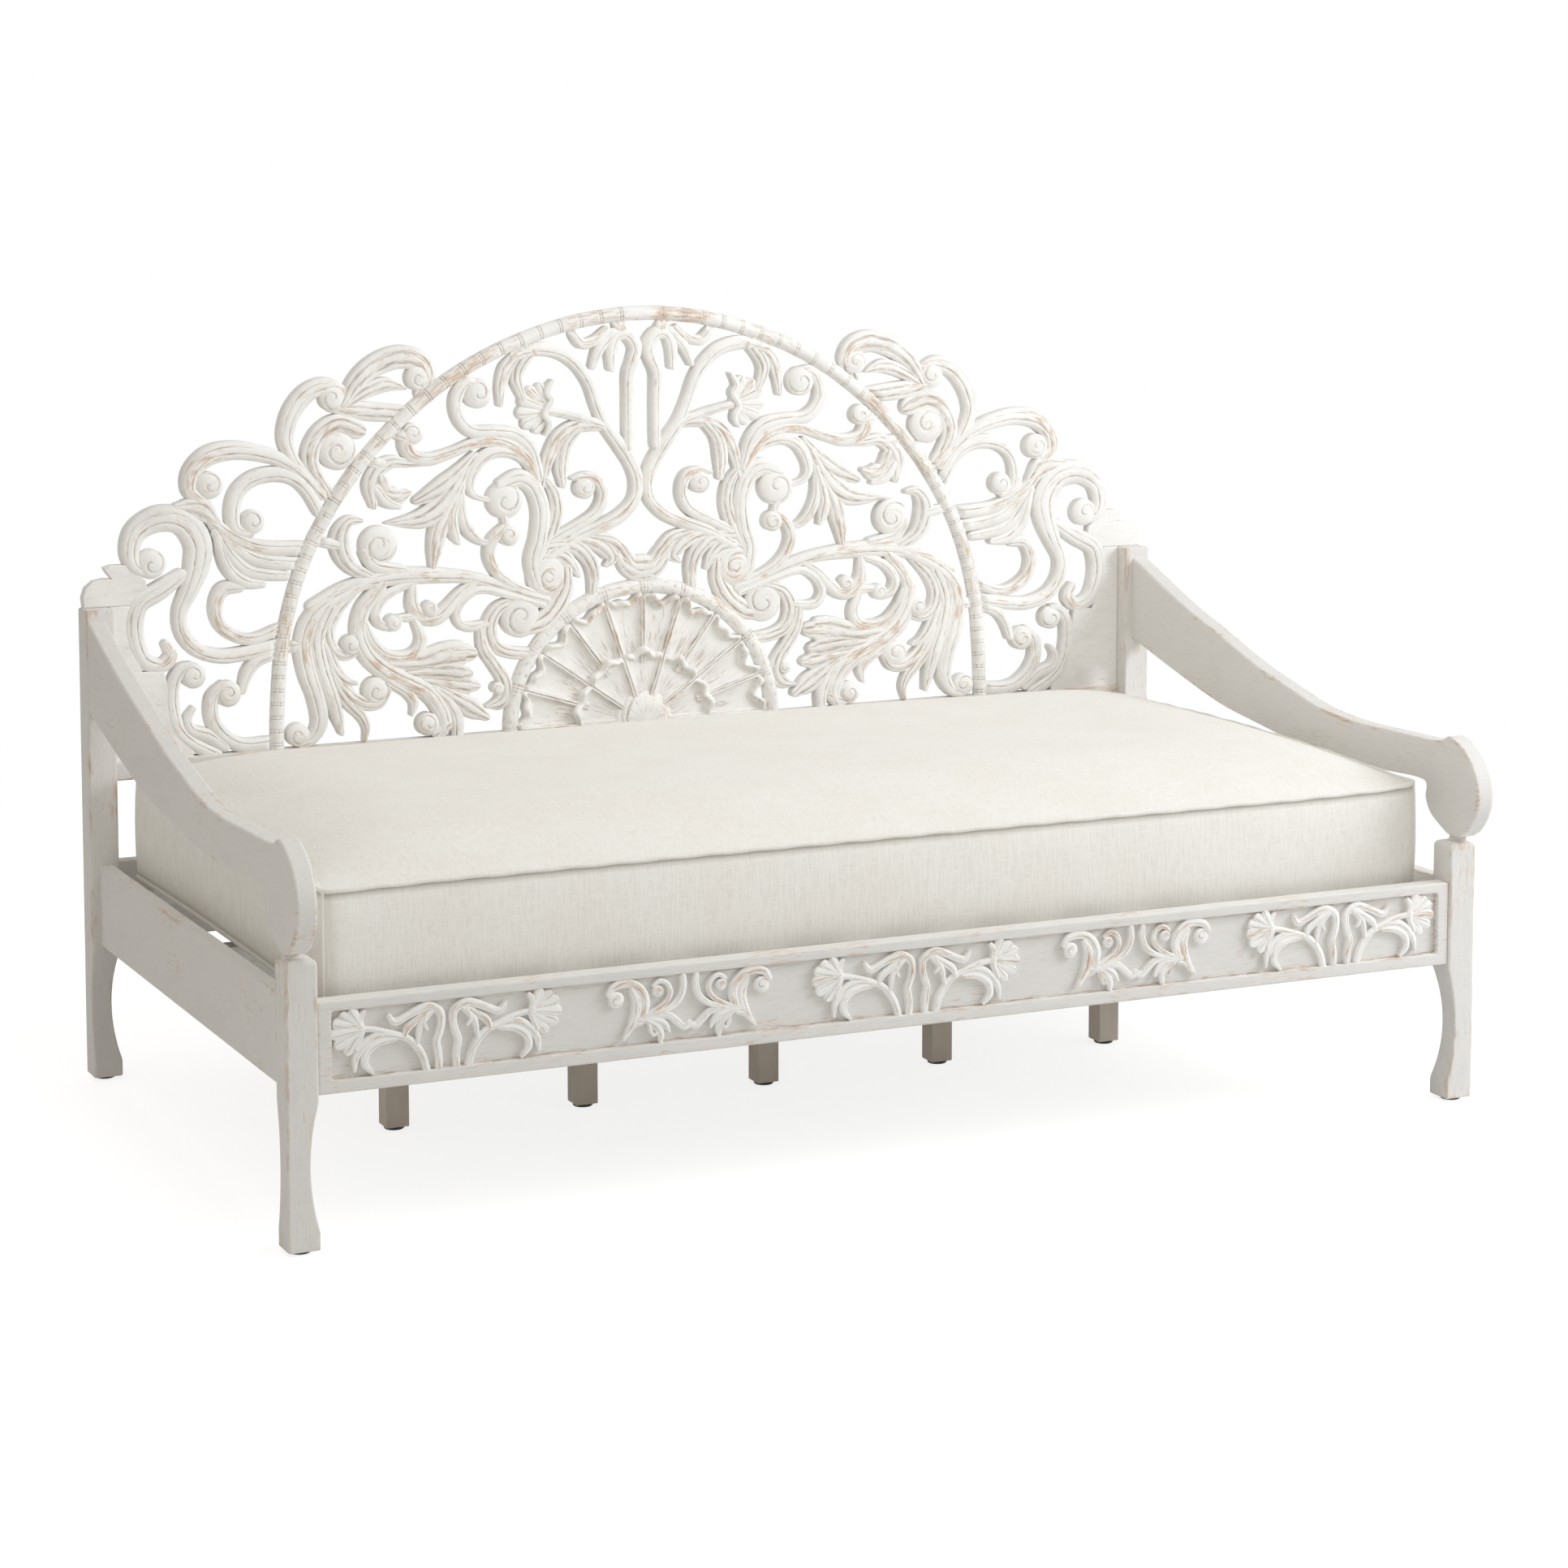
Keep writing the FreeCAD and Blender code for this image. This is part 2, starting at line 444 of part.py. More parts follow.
FRET_STEM_SHARES = [
    # umbrella stem at the middle and its leaves
    [(0.027, 0.560, 0.018), (0.027, 0.600, 0.020), (0.027, 0.650, 0.020), (0.027, 0.690, 0.020),
     (0.018, 0.715, 0.022), (0.012, 0.740, 0.026), (0.028, 0.763, 0.026), (0.050, 0.760, 0.022),
     (0.060, 0.735, 0.022), (0.060, 0.704, 0.016)],
    [(0.058, 0.765, 0.022), (0.082, 0.740, 0.022), (0.097, 0.707, 0.012)],
    [(0.070, 0.772, 0.016), (0.092, 0.754, 0.018), (0.118, 0.749, 0.020), (0.137, 0.772, 0.016)],
    [(0.035, 0.765, 0.024), (0.048, 0.795, 0.030)],
    # long stem round the centre, landing on the rosette's leaves
    [(0.245, 0.732, 0.022), (0.205, 0.742, 0.026), (0.160, 0.734, 0.026), (0.128, 0.712, 0.024),
     (0.104, 0.678, 0.022), (0.090, 0.640, 0.022), (0.072, 0.600, 0.024), (0.045, 0.563, 0.026),
     (0.020, 0.525, 0.026), (0.010, 0.490, 0.026), (0.018, 0.458, 0.024), (0.045, 0.432, 0.026),
     (0.085, 0.413, 0.026), (0.130, 0.396, 0.026), (0.178, 0.370, 0.026)],
    [(0.212, 0.742, 0.024), (0.220, 0.757, 0.022)],
    [(0.240, 0.732, 0.024), (0.262, 0.710, 0.026), (0.272, 0.680, 0.022), (0.275, 0.648, 0.012)],
    [(0.215, 0.737, 0.020), (0.236, 0.715, 0.026), (0.244, 0.690, 0.024), (0.232, 0.655, 0.014)],
    # flower stalk and the two leaves of the inner loop
    [(0.178, 0.628, 0.014), (0.135, 0.618, 0.016), (0.100, 0.608, 0.016), (0.072, 0.598, 0.018)],
    [(0.080, 0.600, 0.022), (0.125, 0.600, 0.026), (0.160, 0.582, 0.028), (0.182, 0.545, 0.024),
     (0.193, 0.500, 0.014)],
    [(0.125, 0.597, 0.020), (0.150, 0.568, 0.026), (0.158, 0.530, 0.028), (0.156, 0.499, 0.016)],
    # tall S stem with its volute, and the strand beside it
    [(0.272, 0.500, 0.026), (0.240, 0.510, 0.034), (0.212, 0.492, 0.034), (0.198, 0.450, 0.034),
     (0.202, 0.400, 0.034), (0.213, 0.360, 0.034), (0.206, 0.320, 0.030)],
    [(0.190, 0.506, 0.014), (0.173, 0.480, 0.024), (0.168, 0.445, 0.026), (0.180, 0.405, 0.026),
     (0.200, 0.365, 0.026)],
    # small volute of the centre
    [(0.176, 0.396, 0.018), (0.125, 0.420, 0.020), (0.092, 0.440, 0.022), (0.078, 0.468, 0.022),
     (0.086, 0.498, 0.022), (0.110, 0.509, 0.016), (0.136, 0.505, 0.008)],
    # upper left stems: volute at the arch, second curl, trefoil
    [(0.322, 0.682, 0.022), (0.345, 0.682, 0.026), (0.359, 0.652, 0.024), (0.352, 0.620, 0.024),
     (0.326, 0.598, 0.026), (0.285, 0.595, 0.026), (0.245, 0.586, 0.030), (0.218, 0.560, 0.028),
     (0.203, 0.515, 0.022)],
    [(0.437, 0.606, 0.020), (0.454, 0.584, 0.028), (0.442, 0.559, 0.026), (0.410, 0.552, 0.024),
     (0.368, 0.562, 0.020), (0.320, 0.578, 0.020), (0.272, 0.576, 0.026), (0.230, 0.550, 0.026),
     (0.206, 0.510, 0.020)],
    [(0.450, 0.590, 0.024), (0.482, 0.606, 0.020)],
    [(0.400, 0.546, 0.010), (0.448, 0.547, 0.016), (0.482, 0.550, 0.024), (0.507, 0.535, 0.032),
     (0.519, 0.508, 0.032), (0.516, 0.478, 0.016)],
    [(0.500, 0.518, 0.026), (0.490, 0.494, 0.030), (0.470, 0.488, 0.034), (0.452, 0.493, 0.012)],
    [(0.508, 0.500, 0.024), (0.492, 0.480, 0.024), (0.468, 0.470, 0.010)],
    [(0.500, 0.546, 0.024), (0.523, 0.552, 0.018)],
    # hanging leaf spray
    [(0.326, 0.556, 0.014), (0.355, 0.525, 0.030), (0.385, 0.500, 0.040), (0.430, 0.480, 0.018)],
    [(0.345, 0.530, 0.020), (0.380, 0.475, 0.044), (0.425, 0.446, 0.036), (0.492, 0.441, 0.004)],
    [(0.360, 0.490, 0.024), (0.388, 0.440, 0.036), (0.400, 0.395, 0.030), (0.406, 0.350, 0.008)],
    [(0.352, 0.500, 0.020), (0.368, 0.450, 0.022), (0.364, 0.415, 0.022), (0.357, 0.399, 0.008)],
    [(0.350, 0.490, 0.014), (0.350, 0.450, 0.020), (0.338, 0.420, 0.022), (0.318, 0.401, 0.016),
     (0.300, 0.396, 0.010)],
    [(0.212, 0.530, 0.016), (0.245, 0.554, 0.022), (0.280, 0.561, 0.024), (0.312, 0.549, 0.024),
     (0.331, 0.520, 0.022), (0.334, 0.496, 0.018), (0.322, 0.481, 0.012), (0.298, 0.474, 0.010)],
    # small S left of the tall stem
    [(0.272, 0.420, 0.018), (0.292, 0.400, 0.022), (0.298, 0.372, 0.022), (0.284, 0.342, 0.020),
     (0.255, 0.318, 0.018), (0.205, 0.296, 0.016)],
    [(0.264, 0.420, 0.014), (0.270, 0.446, 0.014)],
    # long level stem, its volute and its leaf
    [(0.190, 0.288, 0.018), (0.250, 0.308, 0.018), (0.300, 0.326, 0.022), (0.350, 0.338, 0.024),
     (0.420, 0.344, 0.030), (0.480, 0.345, 0.032), (0.530, 0.338, 0.028), (0.580, 0.326, 0.024),
     (0.630, 0.300, 0.024)],
    [(0.532, 0.390, 0.022), (0.512, 0.365, 0.026), (0.465, 0.356, 0.022)],
    [(0.540, 0.449, 0.010), (0.562, 0.448, 0.022), (0.577, 0.425, 0.036), (0.575, 0.395, 0.038),
     (0.558, 0.367, 0.028), (0.525, 0.348, 0.020)],
    [(0.585, 0.408, 0.022), (0.622, 0.416, 0.016)],
    # great acanthus beside the arch
    [(0.530, 0.338, 0.020), (0.592, 0.311, 0.030), (0.632, 0.278, 0.034), (0.647, 0.235, 0.036),
     (0.640, 0.185, 0.036), (0.626, 0.140, 0.032), (0.619, 0.095, 0.030), (0.634, 0.066, 0.022),
     (0.655, 0.058, 0.016)],
    [(0.655, 0.232, 0.022), (0.685, 0.230, 0.018)],
    [(0.600, 0.300, 0.034), (0.622, 0.250, 0.034), (0.618, 0.200, 0.034), (0.600, 0.145, 0.030),
     (0.588, 0.105, 0.024), (0.580, 0.072, 0.010)],
    [(0.602, 0.215, 0.028), (0.588, 0.160, 0.028), (0.563, 0.122, 0.024), (0.543, 0.100, 0.020),
     (0.533, 0.078, 0.014), (0.536, 0.056, 0.006)],
    [(0.594, 0.180, 0.026), (0.564, 0.139, 0.026), (0.535, 0.120, 0.024), (0.508, 0.121, 0.020),
     (0.494, 0.140, 0.016)],
    [(0.606, 0.225, 0.028), (0.592, 0.190, 0.026), (0.572, 0.167, 0.018), (0.555, 0.160, 0.010)],
    [(0.552, 0.322, 0.014), (0.586, 0.293, 0.028), (0.602, 0.257, 0.026), (0.594, 0.225, 0.022),
     (0.574, 0.210, 0.020), (0.553, 0.216, 0.020)],
    # second acanthus
    [(0.452, 0.330, 0.014), (0.492, 0.314, 0.018), (0.514, 0.287, 0.020), (0.508, 0.263, 0.018),
     (0.488, 0.255, 0.016)],
    [(0.505, 0.328, 0.024), (0.536, 0.292, 0.030), (0.545, 0.250, 0.032), (0.530, 0.210, 0.036),
     (0.500, 0.180, 0.036), (0.460, 0.157, 0.036), (0.420, 0.135, 0.034), (0.396, 0.106, 0.032),
     (0.386, 0.076, 0.030), (0.396, 0.054, 0.018)],
    [(0.534, 0.262, 0.016), (0.522, 0.230, 0.024), (0.495, 0.204, 0.026), (0.460, 0.198, 0.026),
     (0.436, 0.208, 0.026), (0.428, 0.232, 0.022), (0.440, 0.262, 0.014)],
    [(0.480, 0.190, 0.030), (0.420, 0.188, 0.040), (0.372, 0.197, 0.046), (0.340, 0.196, 0.034),
     (0.320, 0.194, 0.012)],
    [(0.450, 0.172, 0.026), (0.390, 0.168, 0.030), (0.345, 0.160, 0.026), (0.326, 0.158, 0.012)],
    [(0.420, 0.155, 0.026), (0.370, 0.145, 0.028), (0.332, 0.138, 0.024), (0.312, 0.136, 0.010)],
    [(0.400, 0.140, 0.026), (0.360, 0.115, 0.028), (0.324, 0.095, 0.024), (0.298, 0.080, 0.006)],
    [(0.400, 0.135, 0.026), (0.374, 0.108, 0.028), (0.362, 0.080, 0.026), (0.362, 0.045, 0.022)],
    [(0.384, 0.070, 0.024), (0.404, 0.059, 0.016)],
    [(0.485, 0.155, 0.022), (0.456, 0.136, 0.022), (0.443, 0.116, 0.018), (0.448, 0.095, 0.006)],
    # hooks under the level stem
    [(0.443, 0.332, 0.014), (0.444, 0.292, 0.026), (0.425, 0.268, 0.026), (0.398, 0.267, 0.028),
     (0.375, 0.286, 0.026), (0.352, 0.310, 0.020), (0.325, 0.327, 0.012)],
    [(0.440, 0.270, 0.018), (0.474, 0.270, 0.012)],
    [(0.195, 0.278, 0.012), (0.260, 0.299, 0.014), (0.315, 0.313, 0.015), (0.348, 0.298, 0.018),
     (0.362, 0.273, 0.018), (0.354, 0.252, 0.018), (0.335, 0.246, 0.018), (0.308, 0.250, 0.014)],
    # double scroll beside the rosette and its tail
    [(0.245, 0.290, 0.014), (0.282, 0.277, 0.024), (0.299, 0.245, 0.030), (0.290, 0.212, 0.028),
     (0.262, 0.196, 0.024), (0.218, 0.190, 0.022)],
    [(0.316, 0.238, 0.016), (0.310, 0.205, 0.022), (0.290, 0.175, 0.024), (0.274, 0.147, 0.024),
     (0.273, 0.122, 0.022), (0.286, 0.108, 0.014), (0.303, 0.105, 0.005)],
    # great spiral on the rosette, its strand and the leaves that meet in the middle
    [(0.150, 0.338, 0.022), (0.152, 0.305, 0.032), (0.172, 0.270, 0.038), (0.200, 0.247, 0.036),
     (0.236, 0.237, 0.026)],
    [(0.195, 0.368, 0.026), (0.160, 0.368, 0.028), (0.139, 0.350, 0.022), (0.128, 0.330, 0.010)],
    [(0.180, 0.385, 0.026), (0.140, 0.385, 0.030), (0.110, 0.362, 0.030), (0.097, 0.332, 0.026),
     (0.098, 0.292, 0.018)],
    [(0.170, 0.393, 0.020), (0.120, 0.395, 0.028), (0.080, 0.380, 0.034), (0.061, 0.357, 0.028),
     (0.070, 0.345, 0.010)],
    [(0.100, 0.398, 0.014), (0.060, 0.388, 0.024), (0.036, 0.365, 0.024), (0.020, 0.342, 0.034),
     (-0.004, 0.338, 0.042)],
]
FRET_EYE_SHARES = [(0.268, 0.472, 0.034), (0.114, 0.487, 0.020), (0.318, 0.666, 0.027), (0.441, 0.599, 0.019),
                   (0.261, 0.408, 0.019), (0.507, 0.403, 0.035), (0.660, 0.074, 0.021), (0.515, 0.143, 0.025),
                   (0.561, 0.228, 0.018), (0.481, 0.263, 0.015), (0.418, 0.076, 0.021), (0.412, 0.284, 0.014),
                   (0.240, 0.258, 0.037), (0.285, 0.132, 0.011), (0.185, 0.328, 0.040)]
FRET_PLATE_SHARES = [
    # trumpet flower
    [(0.243, 0.635), (0.232, 0.660), (0.215, 0.673), (0.192, 0.678), (0.180, 0.675), (0.170, 0.680),
     (0.160, 0.665), (0.158, 0.645), (0.165, 0.625), (0.175, 0.615), (0.195, 0.591), (0.201, 0.596),
     (0.213, 0.590), (0.228, 0.600), (0.232, 0.620)],
    # keystone block over the rosette
    [(0.050, 0.343), (0.038, 0.326), (0.025, 0.300), (-0.001, 0.300), (-0.001, 0.360), (0.012, 0.360),
     (0.024, 0.354), (0.040, 0.360)],
]


def module_wide():
    return size("inner_half") / WING_REACH_SHARE


def module_high():
    return (size("arch_top_height") - size("carving_datum_height")) / ARCH_TOP_SHARE


def spot(x_share, z_share, side):
    """A point on the carving's front plane, before that plane is moved to its depth."""
    return (side * x_share * module_wide(), size("carving_datum_height") + z_share * module_high())


def thin_out(points, slack):
    """Drop points of a line that lie within slack of the chord past them."""
    if len(points) < 3:
        return points
    (x0, z0), (x1, z1) = points[0], points[-1]
    long = math.hypot(x1 - x0, z1 - z0)
    if long == 0:
        offs = [math.hypot(x - x0, z - z0) for x, z in points]
    else:
        offs = [abs((x1 - x0) * (z0 - z) - (x0 - x) * (z1 - z0)) / long for x, z in points]
    worst = max(range(len(points)), key=lambda at: offs[at])
    if offs[worst] <= slack:
        return [points[0], points[-1]]
    return thin_out(points[:worst + 1], slack)[:-1] + thin_out(points[worst:], slack)


def smooth(rows, steps):
    """Carry a smooth line through rows of numbers, the same steps in each span."""
    line = []
    last = len(rows) - 1
    for at in range(last):
        before, here, there, after = rows[max(at - 1, 0)], rows[at], rows[at + 1], rows[min(at + 2, last)]
        for step in range(steps):
            way = step / steps
            line.append([0.5 * (2 * b + (c - a) * way + (2 * a - 5 * b + 4 * c - d) * way ** 2
                                + (3 * b - a - 3 * c + d) * way ** 3)
                         for a, b, c, d in zip(before, here, there, after)])
    line.append(list(rows[last]))
    return line


STEPS_PER_SPAN = 8
CAP_STEPS = 6


def outline_face(points):
    """A flat face on the plane y = 0 from a closed line of points, always wound the same way."""
    area = sum(x0 * z1 - x1 * z0 for (x0, z0), (x1, z1) in zip(points, points[1:] + points[:1]))
    if area < 0:
        points = points[::-1]
    corners = [Vector(x, 0, z) for x, z in points]
    return Part.Face(Part.makePolygon(corners + corners[:1]))


def stem_face(shares, side):
    """A stem: both edges of a centre line of changing breadth, with a round cap at each end."""
    breadth_unit = (module_wide() + module_high()) / 2
    rows = [list(spot(x, z, side)) + [w * breadth_unit / 2] for x, z, w in shares]
    line = smooth(rows, STEPS_PER_SPAN)
    ahead, behind = [], []
    last = len(line) - 1
    for at, (x, z, half) in enumerate(line):
        x0, z0, skip = line[max(at - 1, 0)]
        x1, z1, skip = line[min(at + 1, last)]
        long = math.hypot(x1 - x0, z1 - z0)
        nx, nz = (z0 - z1) / long, (x1 - x0) / long
        ahead.append((x + nx * half, z + nz * half))
        behind.append((x - nx * half, z - nz * half))
    slack = size("carving_facet")
    ahead, behind = thin_out(ahead, slack), thin_out(behind, slack)
    end = cap(line[last], ahead[-1])
    start = cap(line[0], behind[0])
    return outline_face(ahead + end + behind[::-1] + start)


def cap(middle, edge_point):
    """Points of a half circle from edge_point round middle, turning clockwise, without its ends."""
    x, z, half = middle
    turn = math.atan2(edge_point[1] - z, edge_point[0] - x)
    steps = CAP_STEPS if half > 5 * size("carving_facet") else 2
    turns = [turn - math.pi * step / steps for step in range(1, steps)]
    return [(x + half * math.cos(way), z + half * math.sin(way)) for way in turns]


def eye_face(shares, side):
    """A round volute eye."""
    x, z = spot(shares[0], shares[1], side)
    radius = shares[2] * (module_wide() + module_high()) / 2
    steps = 3 * CAP_STEPS
    turns = [2 * math.pi * step / steps for step in range(steps)]
    return outline_face([(x + radius * math.cos(turn), z + radius * math.sin(turn)) for turn in turns])


def plate_face(shares, side):
    return outline_face([spot(x, z, side) for x, z in shares])


def merged(shape):
    """Join the flat pieces of a shape wherever they share an edge."""
    return Part.makeShell(shape.Faces).removeSplitter()


def joined(faces):
    """One flat shape from many that overlap."""
    while len(faces) > 1:
        groups = [faces[at:at + 8] for at in range(0, len(faces), 8)]
        faces = [merged(group[0].multiFuse(group[1:])) if len(group) > 1 else group[0] for group in groups]
    return faces[0]


def carving(stems, eyes, plates, sides):
    faces = []
    for side in sides:
        faces += [stem_face(shares, side) for shares in stems]
        faces += [eye_face(shares, side) for shares in eyes]
        faces += [plate_face(shares, side) for shares in plates]
    return joined(faces)


def arch_face():
    half = [(x, z, ARCH_BREADTH_SHARE) for x, z in ARCH_SHARES]
    left = [list(spot(x, z, -1)) + [w * (module_wide() + module_high()) / 4] for x, z, w in half]
    right = [[-x, z, w] for x, z, w in left[-2::-1]]
    line = smooth(left + right, STEPS_PER_SPAN)
    ahead, behind = [], []
    last = len(line) - 1
    for at, (x, z, breadth) in enumerate(line):
        x0, z0, skip = line[max(at - 1, 0)]
        x1, z1, skip = line[min(at + 1, last)]
        long = math.hypot(x1 - x0, z1 - z0)
        ahead.append((x - (z1 - z0) / long * breadth, z + (x1 - x0) / long * breadth))
        behind.append((x + (z1 - z0) / long * breadth, z - (x1 - x0) / long * breadth))
    slack = size("carving_facet")
    return outline_face(thin_out(ahead, slack) + thin_out(behind, slack)[::-1])


def below_face():
    """The strip under the carving that the back's bottom rail takes up."""
    wide, top = size("half_length"), size("back_rail_top_height")
    return outline_face([(-wide, 0), (wide, 0), (wide, top), (-wide, top)])


def rosette_disc(radius):
    """A half disc standing on the bottom rail."""
    top = size("back_rail_top_height")
    turns = 12 * CAP_STEPS
    points = [(radius * math.cos(math.pi * step / turns), top + radius * math.sin(math.pi * step / turns))
              for step in range(turns + 1)]
    return outline_face(thin_out(points[:turns // 2 + 1], size("carving_facet"))[:-1]
                        + thin_out(points[turns // 2:], size("carving_facet")))


def sunk(face, deep, setback=0):
    """Carry a flat face back through the panel, starting setback behind its front."""
    solid = face.extrude(Vector(0, deep - setback, 0))
    if setback:
        solid.translate(Vector(0, setback, 0))
    return solid


PETAL_COUNT = 10
INNER_PETAL_COUNT = 5


def groove(angle, start, stop, deep, front):
    """A V-groove along a radius of the rosette."""
    top = size("back_rail_top_height")
    out = Vector(math.cos(angle), 0, math.sin(angle))
    side = Vector(-math.sin(angle), 0, math.cos(angle))
    base = Vector(0, front, top)
    inner = base + out * start
    points = [inner - side * deep, inner + side * deep, inner + Vector(0, deep, 0)]
    profile = Part.Face(Part.makePolygon(points + points[:1]))
    return profile.extrude(out * (stop - start))


def rosette():
    """Half rosette: a round rim, two tiers of fluted petals and a small dome."""
    radius, rim = size("rosette_radius"), size("rosette_rim_wide")
    thick = size("panel_thick")
    top = size("back_rail_top_height")
    ring = sunk(rosette_disc(radius).cut(rosette_disc(radius - rim)), thick)
    setback = size("outer_petal_setback")
    fan = sunk(rosette_disc(radius - rim), thick, setback)
    slot_tools = []
    long, wide = size("rosette_slot_long"), size("rosette_slot_wide")
    for petal in range(PETAL_COUNT):
        angle = math.pi * (petal + 0.5) / PETAL_COUNT
        box = Part.makeBox(wide, thick + setback, long, Vector(radius - rim - wide, 0, -long / 2))
        box.rotate(Vector(0, 0, 0), Vector(0, 1, 0), -math.degrees(angle))
        box.translate(Vector(0, 0, top))
        slot_tools.append(box)
    depth = size("outer_petal_groove")
    for petal in range(1, PETAL_COUNT):
        slot_tools.append(groove(math.pi * petal / PETAL_COUNT, size("inner_fan_radius"), radius - rim,
                                 depth, setback))
    fan = fan.cut(slot_tools)
    inner_front = size("inner_fan_setback")
    inner = sunk(rosette_disc(size("inner_fan_radius")), thick, inner_front)
    turns = [math.pi * petal / INNER_PETAL_COUNT for petal in range(1, INNER_PETAL_COUNT)]
    reach = size("rosette_dome_radius"), size("inner_fan_radius")
    inner = inner.cut([groove(turn, reach[0], reach[1], depth, inner_front) for turn in turns])
    dome = sunk(rosette_disc(size("rosette_dome_radius")), thick)
    return ring.multiFuse([fan, inner, dome]).removeSplitter()


def one_solid(shape):
    """The single solid in a shape that holds just one."""
    return shape.Solids[0] if len(shape.Solids) == 1 else shape


def panel_piece(label, shape):
    node(label, feature(label, one_solid(shape), "0", "panel_y", "0"))


def carved_back():
    arch = arch_face()
    under = below_face()
    half_disc = rosette_disc(size("rosette_radius"))
    arch_clean = arch.cut(under)
    panel_piece("back_arch", sunk(arch_clean, size("panel_thick")))
    for name, side in SIDES:
        flat = carving(WING_STEM_SHARES, WING_EYE_SHARES, WING_PLATE_SHARES, (side,))
        flat = merged(flat.cut([arch, under]))
        panel_piece("back_wing_" + name, sunk(flat, size("panel_thick")))
    flat = carving(FRET_STEM_SHARES, FRET_EYE_SHARES, FRET_PLATE_SHARES, (-1, 1))
    flat = merged(flat.cut([arch, under, half_disc]))
    panel_piece("back_fretwork", sunk(flat, size("panel_thick")))
    panel_piece("half_rosette", rosette())
    node("back_bottom_rail", board("back_bottom_rail", "2 * inner_half", "panel_thick",
                                   "back_rail_top_height - back_rail_under_height",
                                   "-inner_half", "panel_y", "back_rail_under_height"))


# Mattress

def mattress_level(inset, height, half_long, half_deep, middle_y, draw):
    """One level line of the mattress: four sides drawn in a little and four round corners."""
    long, deep = half_long - inset, half_deep - inset
    radius = size("mattress_corner_radius")
    kink = radius * (1 - math.sqrt(0.5))
    corners = []
    for sx, sy in ((1, -1), (1, 1), (-1, 1), (-1, -1)):
        enter = Vector(sx * long, middle_y + sy * (deep - radius), height)
        mid = Vector(sx * (long - kink), middle_y + sy * (deep - kink), height)
        leave = Vector(sx * (long - radius), middle_y + sy * deep, height)
        corners.append((enter, mid, leave) if sx * sy > 0 else (leave, mid, enter))
    edges = []
    for at, (enter, mid, leave) in enumerate(corners):
        edges.append(Part.Arc(enter, mid, leave).toShape())
        onward = corners[(at + 1) % 4][0]
        halfway = (leave + onward) * 0.5
        pull = Vector(0, middle_y, height) - halfway
        pull.z = 0
        pull.normalize()
        edges.append(Part.Arc(leave, halfway + pull * draw, onward).toShape())
    return Part.Wire(edges)


MATTRESS_LEVEL_SHARES = [
    # share of the edge height, share of the crown, share of the edge round taken off, share of the waist
    (0.000, 0.0, 1.00, 0.0), (0.060, 0.0, 0.15, 0.0), (0.480, 0.0, 0.00, 1.0), (0.925, 0.0, 0.05, 0.0),
    (1.000, 0.0, 1.00, 0.0)]
MATTRESS_CROWN_SHARES = [(0.06, 0.40), (0.16, 0.70), (0.34, 0.93), (0.75, 1.00)]


def mattress():
    """A soft slab with a crowned top, sides drawn in between its corners and eased edges."""
    half_long = size("half_length") - size("leg_wide") - size("mattress_side_gap")
    front = size("front_y") + size("mattress_front_place")
    back = size("post_front_y") - size("mattress_back_gap")
    half_deep, middle = (back - front) / 2, (back + front) / 2
    base = size("deck_height") + size("mattress_seat_gap")
    high = size("mattress_edge_high")
    draw = size("mattress_side_draw")
    wires = []
    for up, crown, eased, waist in MATTRESS_LEVEL_SHARES:
        inset = size("mattress_edge_round") * eased + size("mattress_waist") * waist
        wires.append(mattress_level(inset, base + high * up, half_long, half_deep, middle, draw))
    for inward, rise in MATTRESS_CROWN_SHARES:
        inset = size("mattress_edge_round") + (half_deep - 2 * size("mattress_corner_radius")) * inward
        wires.append(mattress_level(inset, base + high + size("mattress_crown") * rise, half_long, half_deep,
                                    middle, draw * (1 - inward)))
    node("mattress", feature("mattress", Part.makeLoft(wires, True, True)))


# Build

row = len(SIZES) + len(DERIVED) + 1
sheet.set("A%d" % row, "post_top")
sheet.set("B%d" % row, "=carving_datum_height + (arch_top_height - carving_datum_height) * %g / %g"
          % (POST_TOP_SHARE, ARCH_TOP_SHARE))
sheet.setAlias("B%d" % row, "post_top")
ALIASES.append("post_top")
doc.recompute()

for name, side in SIDES:
    front_leg(name, side)
    back_post(name, side)
    side_rail(name, side)
    arm(name, side)
    leg_x = "-(half_length - leg_wide / 2)" if side < 0 else "half_length - leg_wide / 2"
    foot_glide("glide_front_" + name, leg_x, "front_y + leg_deep / 2")
    foot_glide("glide_back_" + name, leg_x, "back_y - post_deep / 2")
node("front_rail", front_rail())
rear_rail()
ledgers()
slats()
centre_support()
carved_back()
mattress()

doc.recompute()
os.makedirs("parts", exist_ok=True)
faults = []
for label, thing in nodes.items():
    if "Invalid" in thing.State or "Error" in thing.State:
        faults.append("%s: state %s" % (label, thing.State))
    elif thing.Shape.isNull() or not thing.Shape.isValid():
        faults.append("%s: shape is null or not valid" % label)
    elif len(thing.Shape.Solids) != 1:
        faults.append("%s: %d solids" % (label, len(thing.Shape.Solids)))
if faults:
    print("\n".join(faults))
for label, thing in nodes.items():
    thing.Shape.exportStep("parts/%s.step" % label)
print("nodes:", len(nodes))
box = FreeCAD.BoundBox()
for thing in nodes.values():
    box.add(thing.Shape.BoundBox)
print("box:", box)
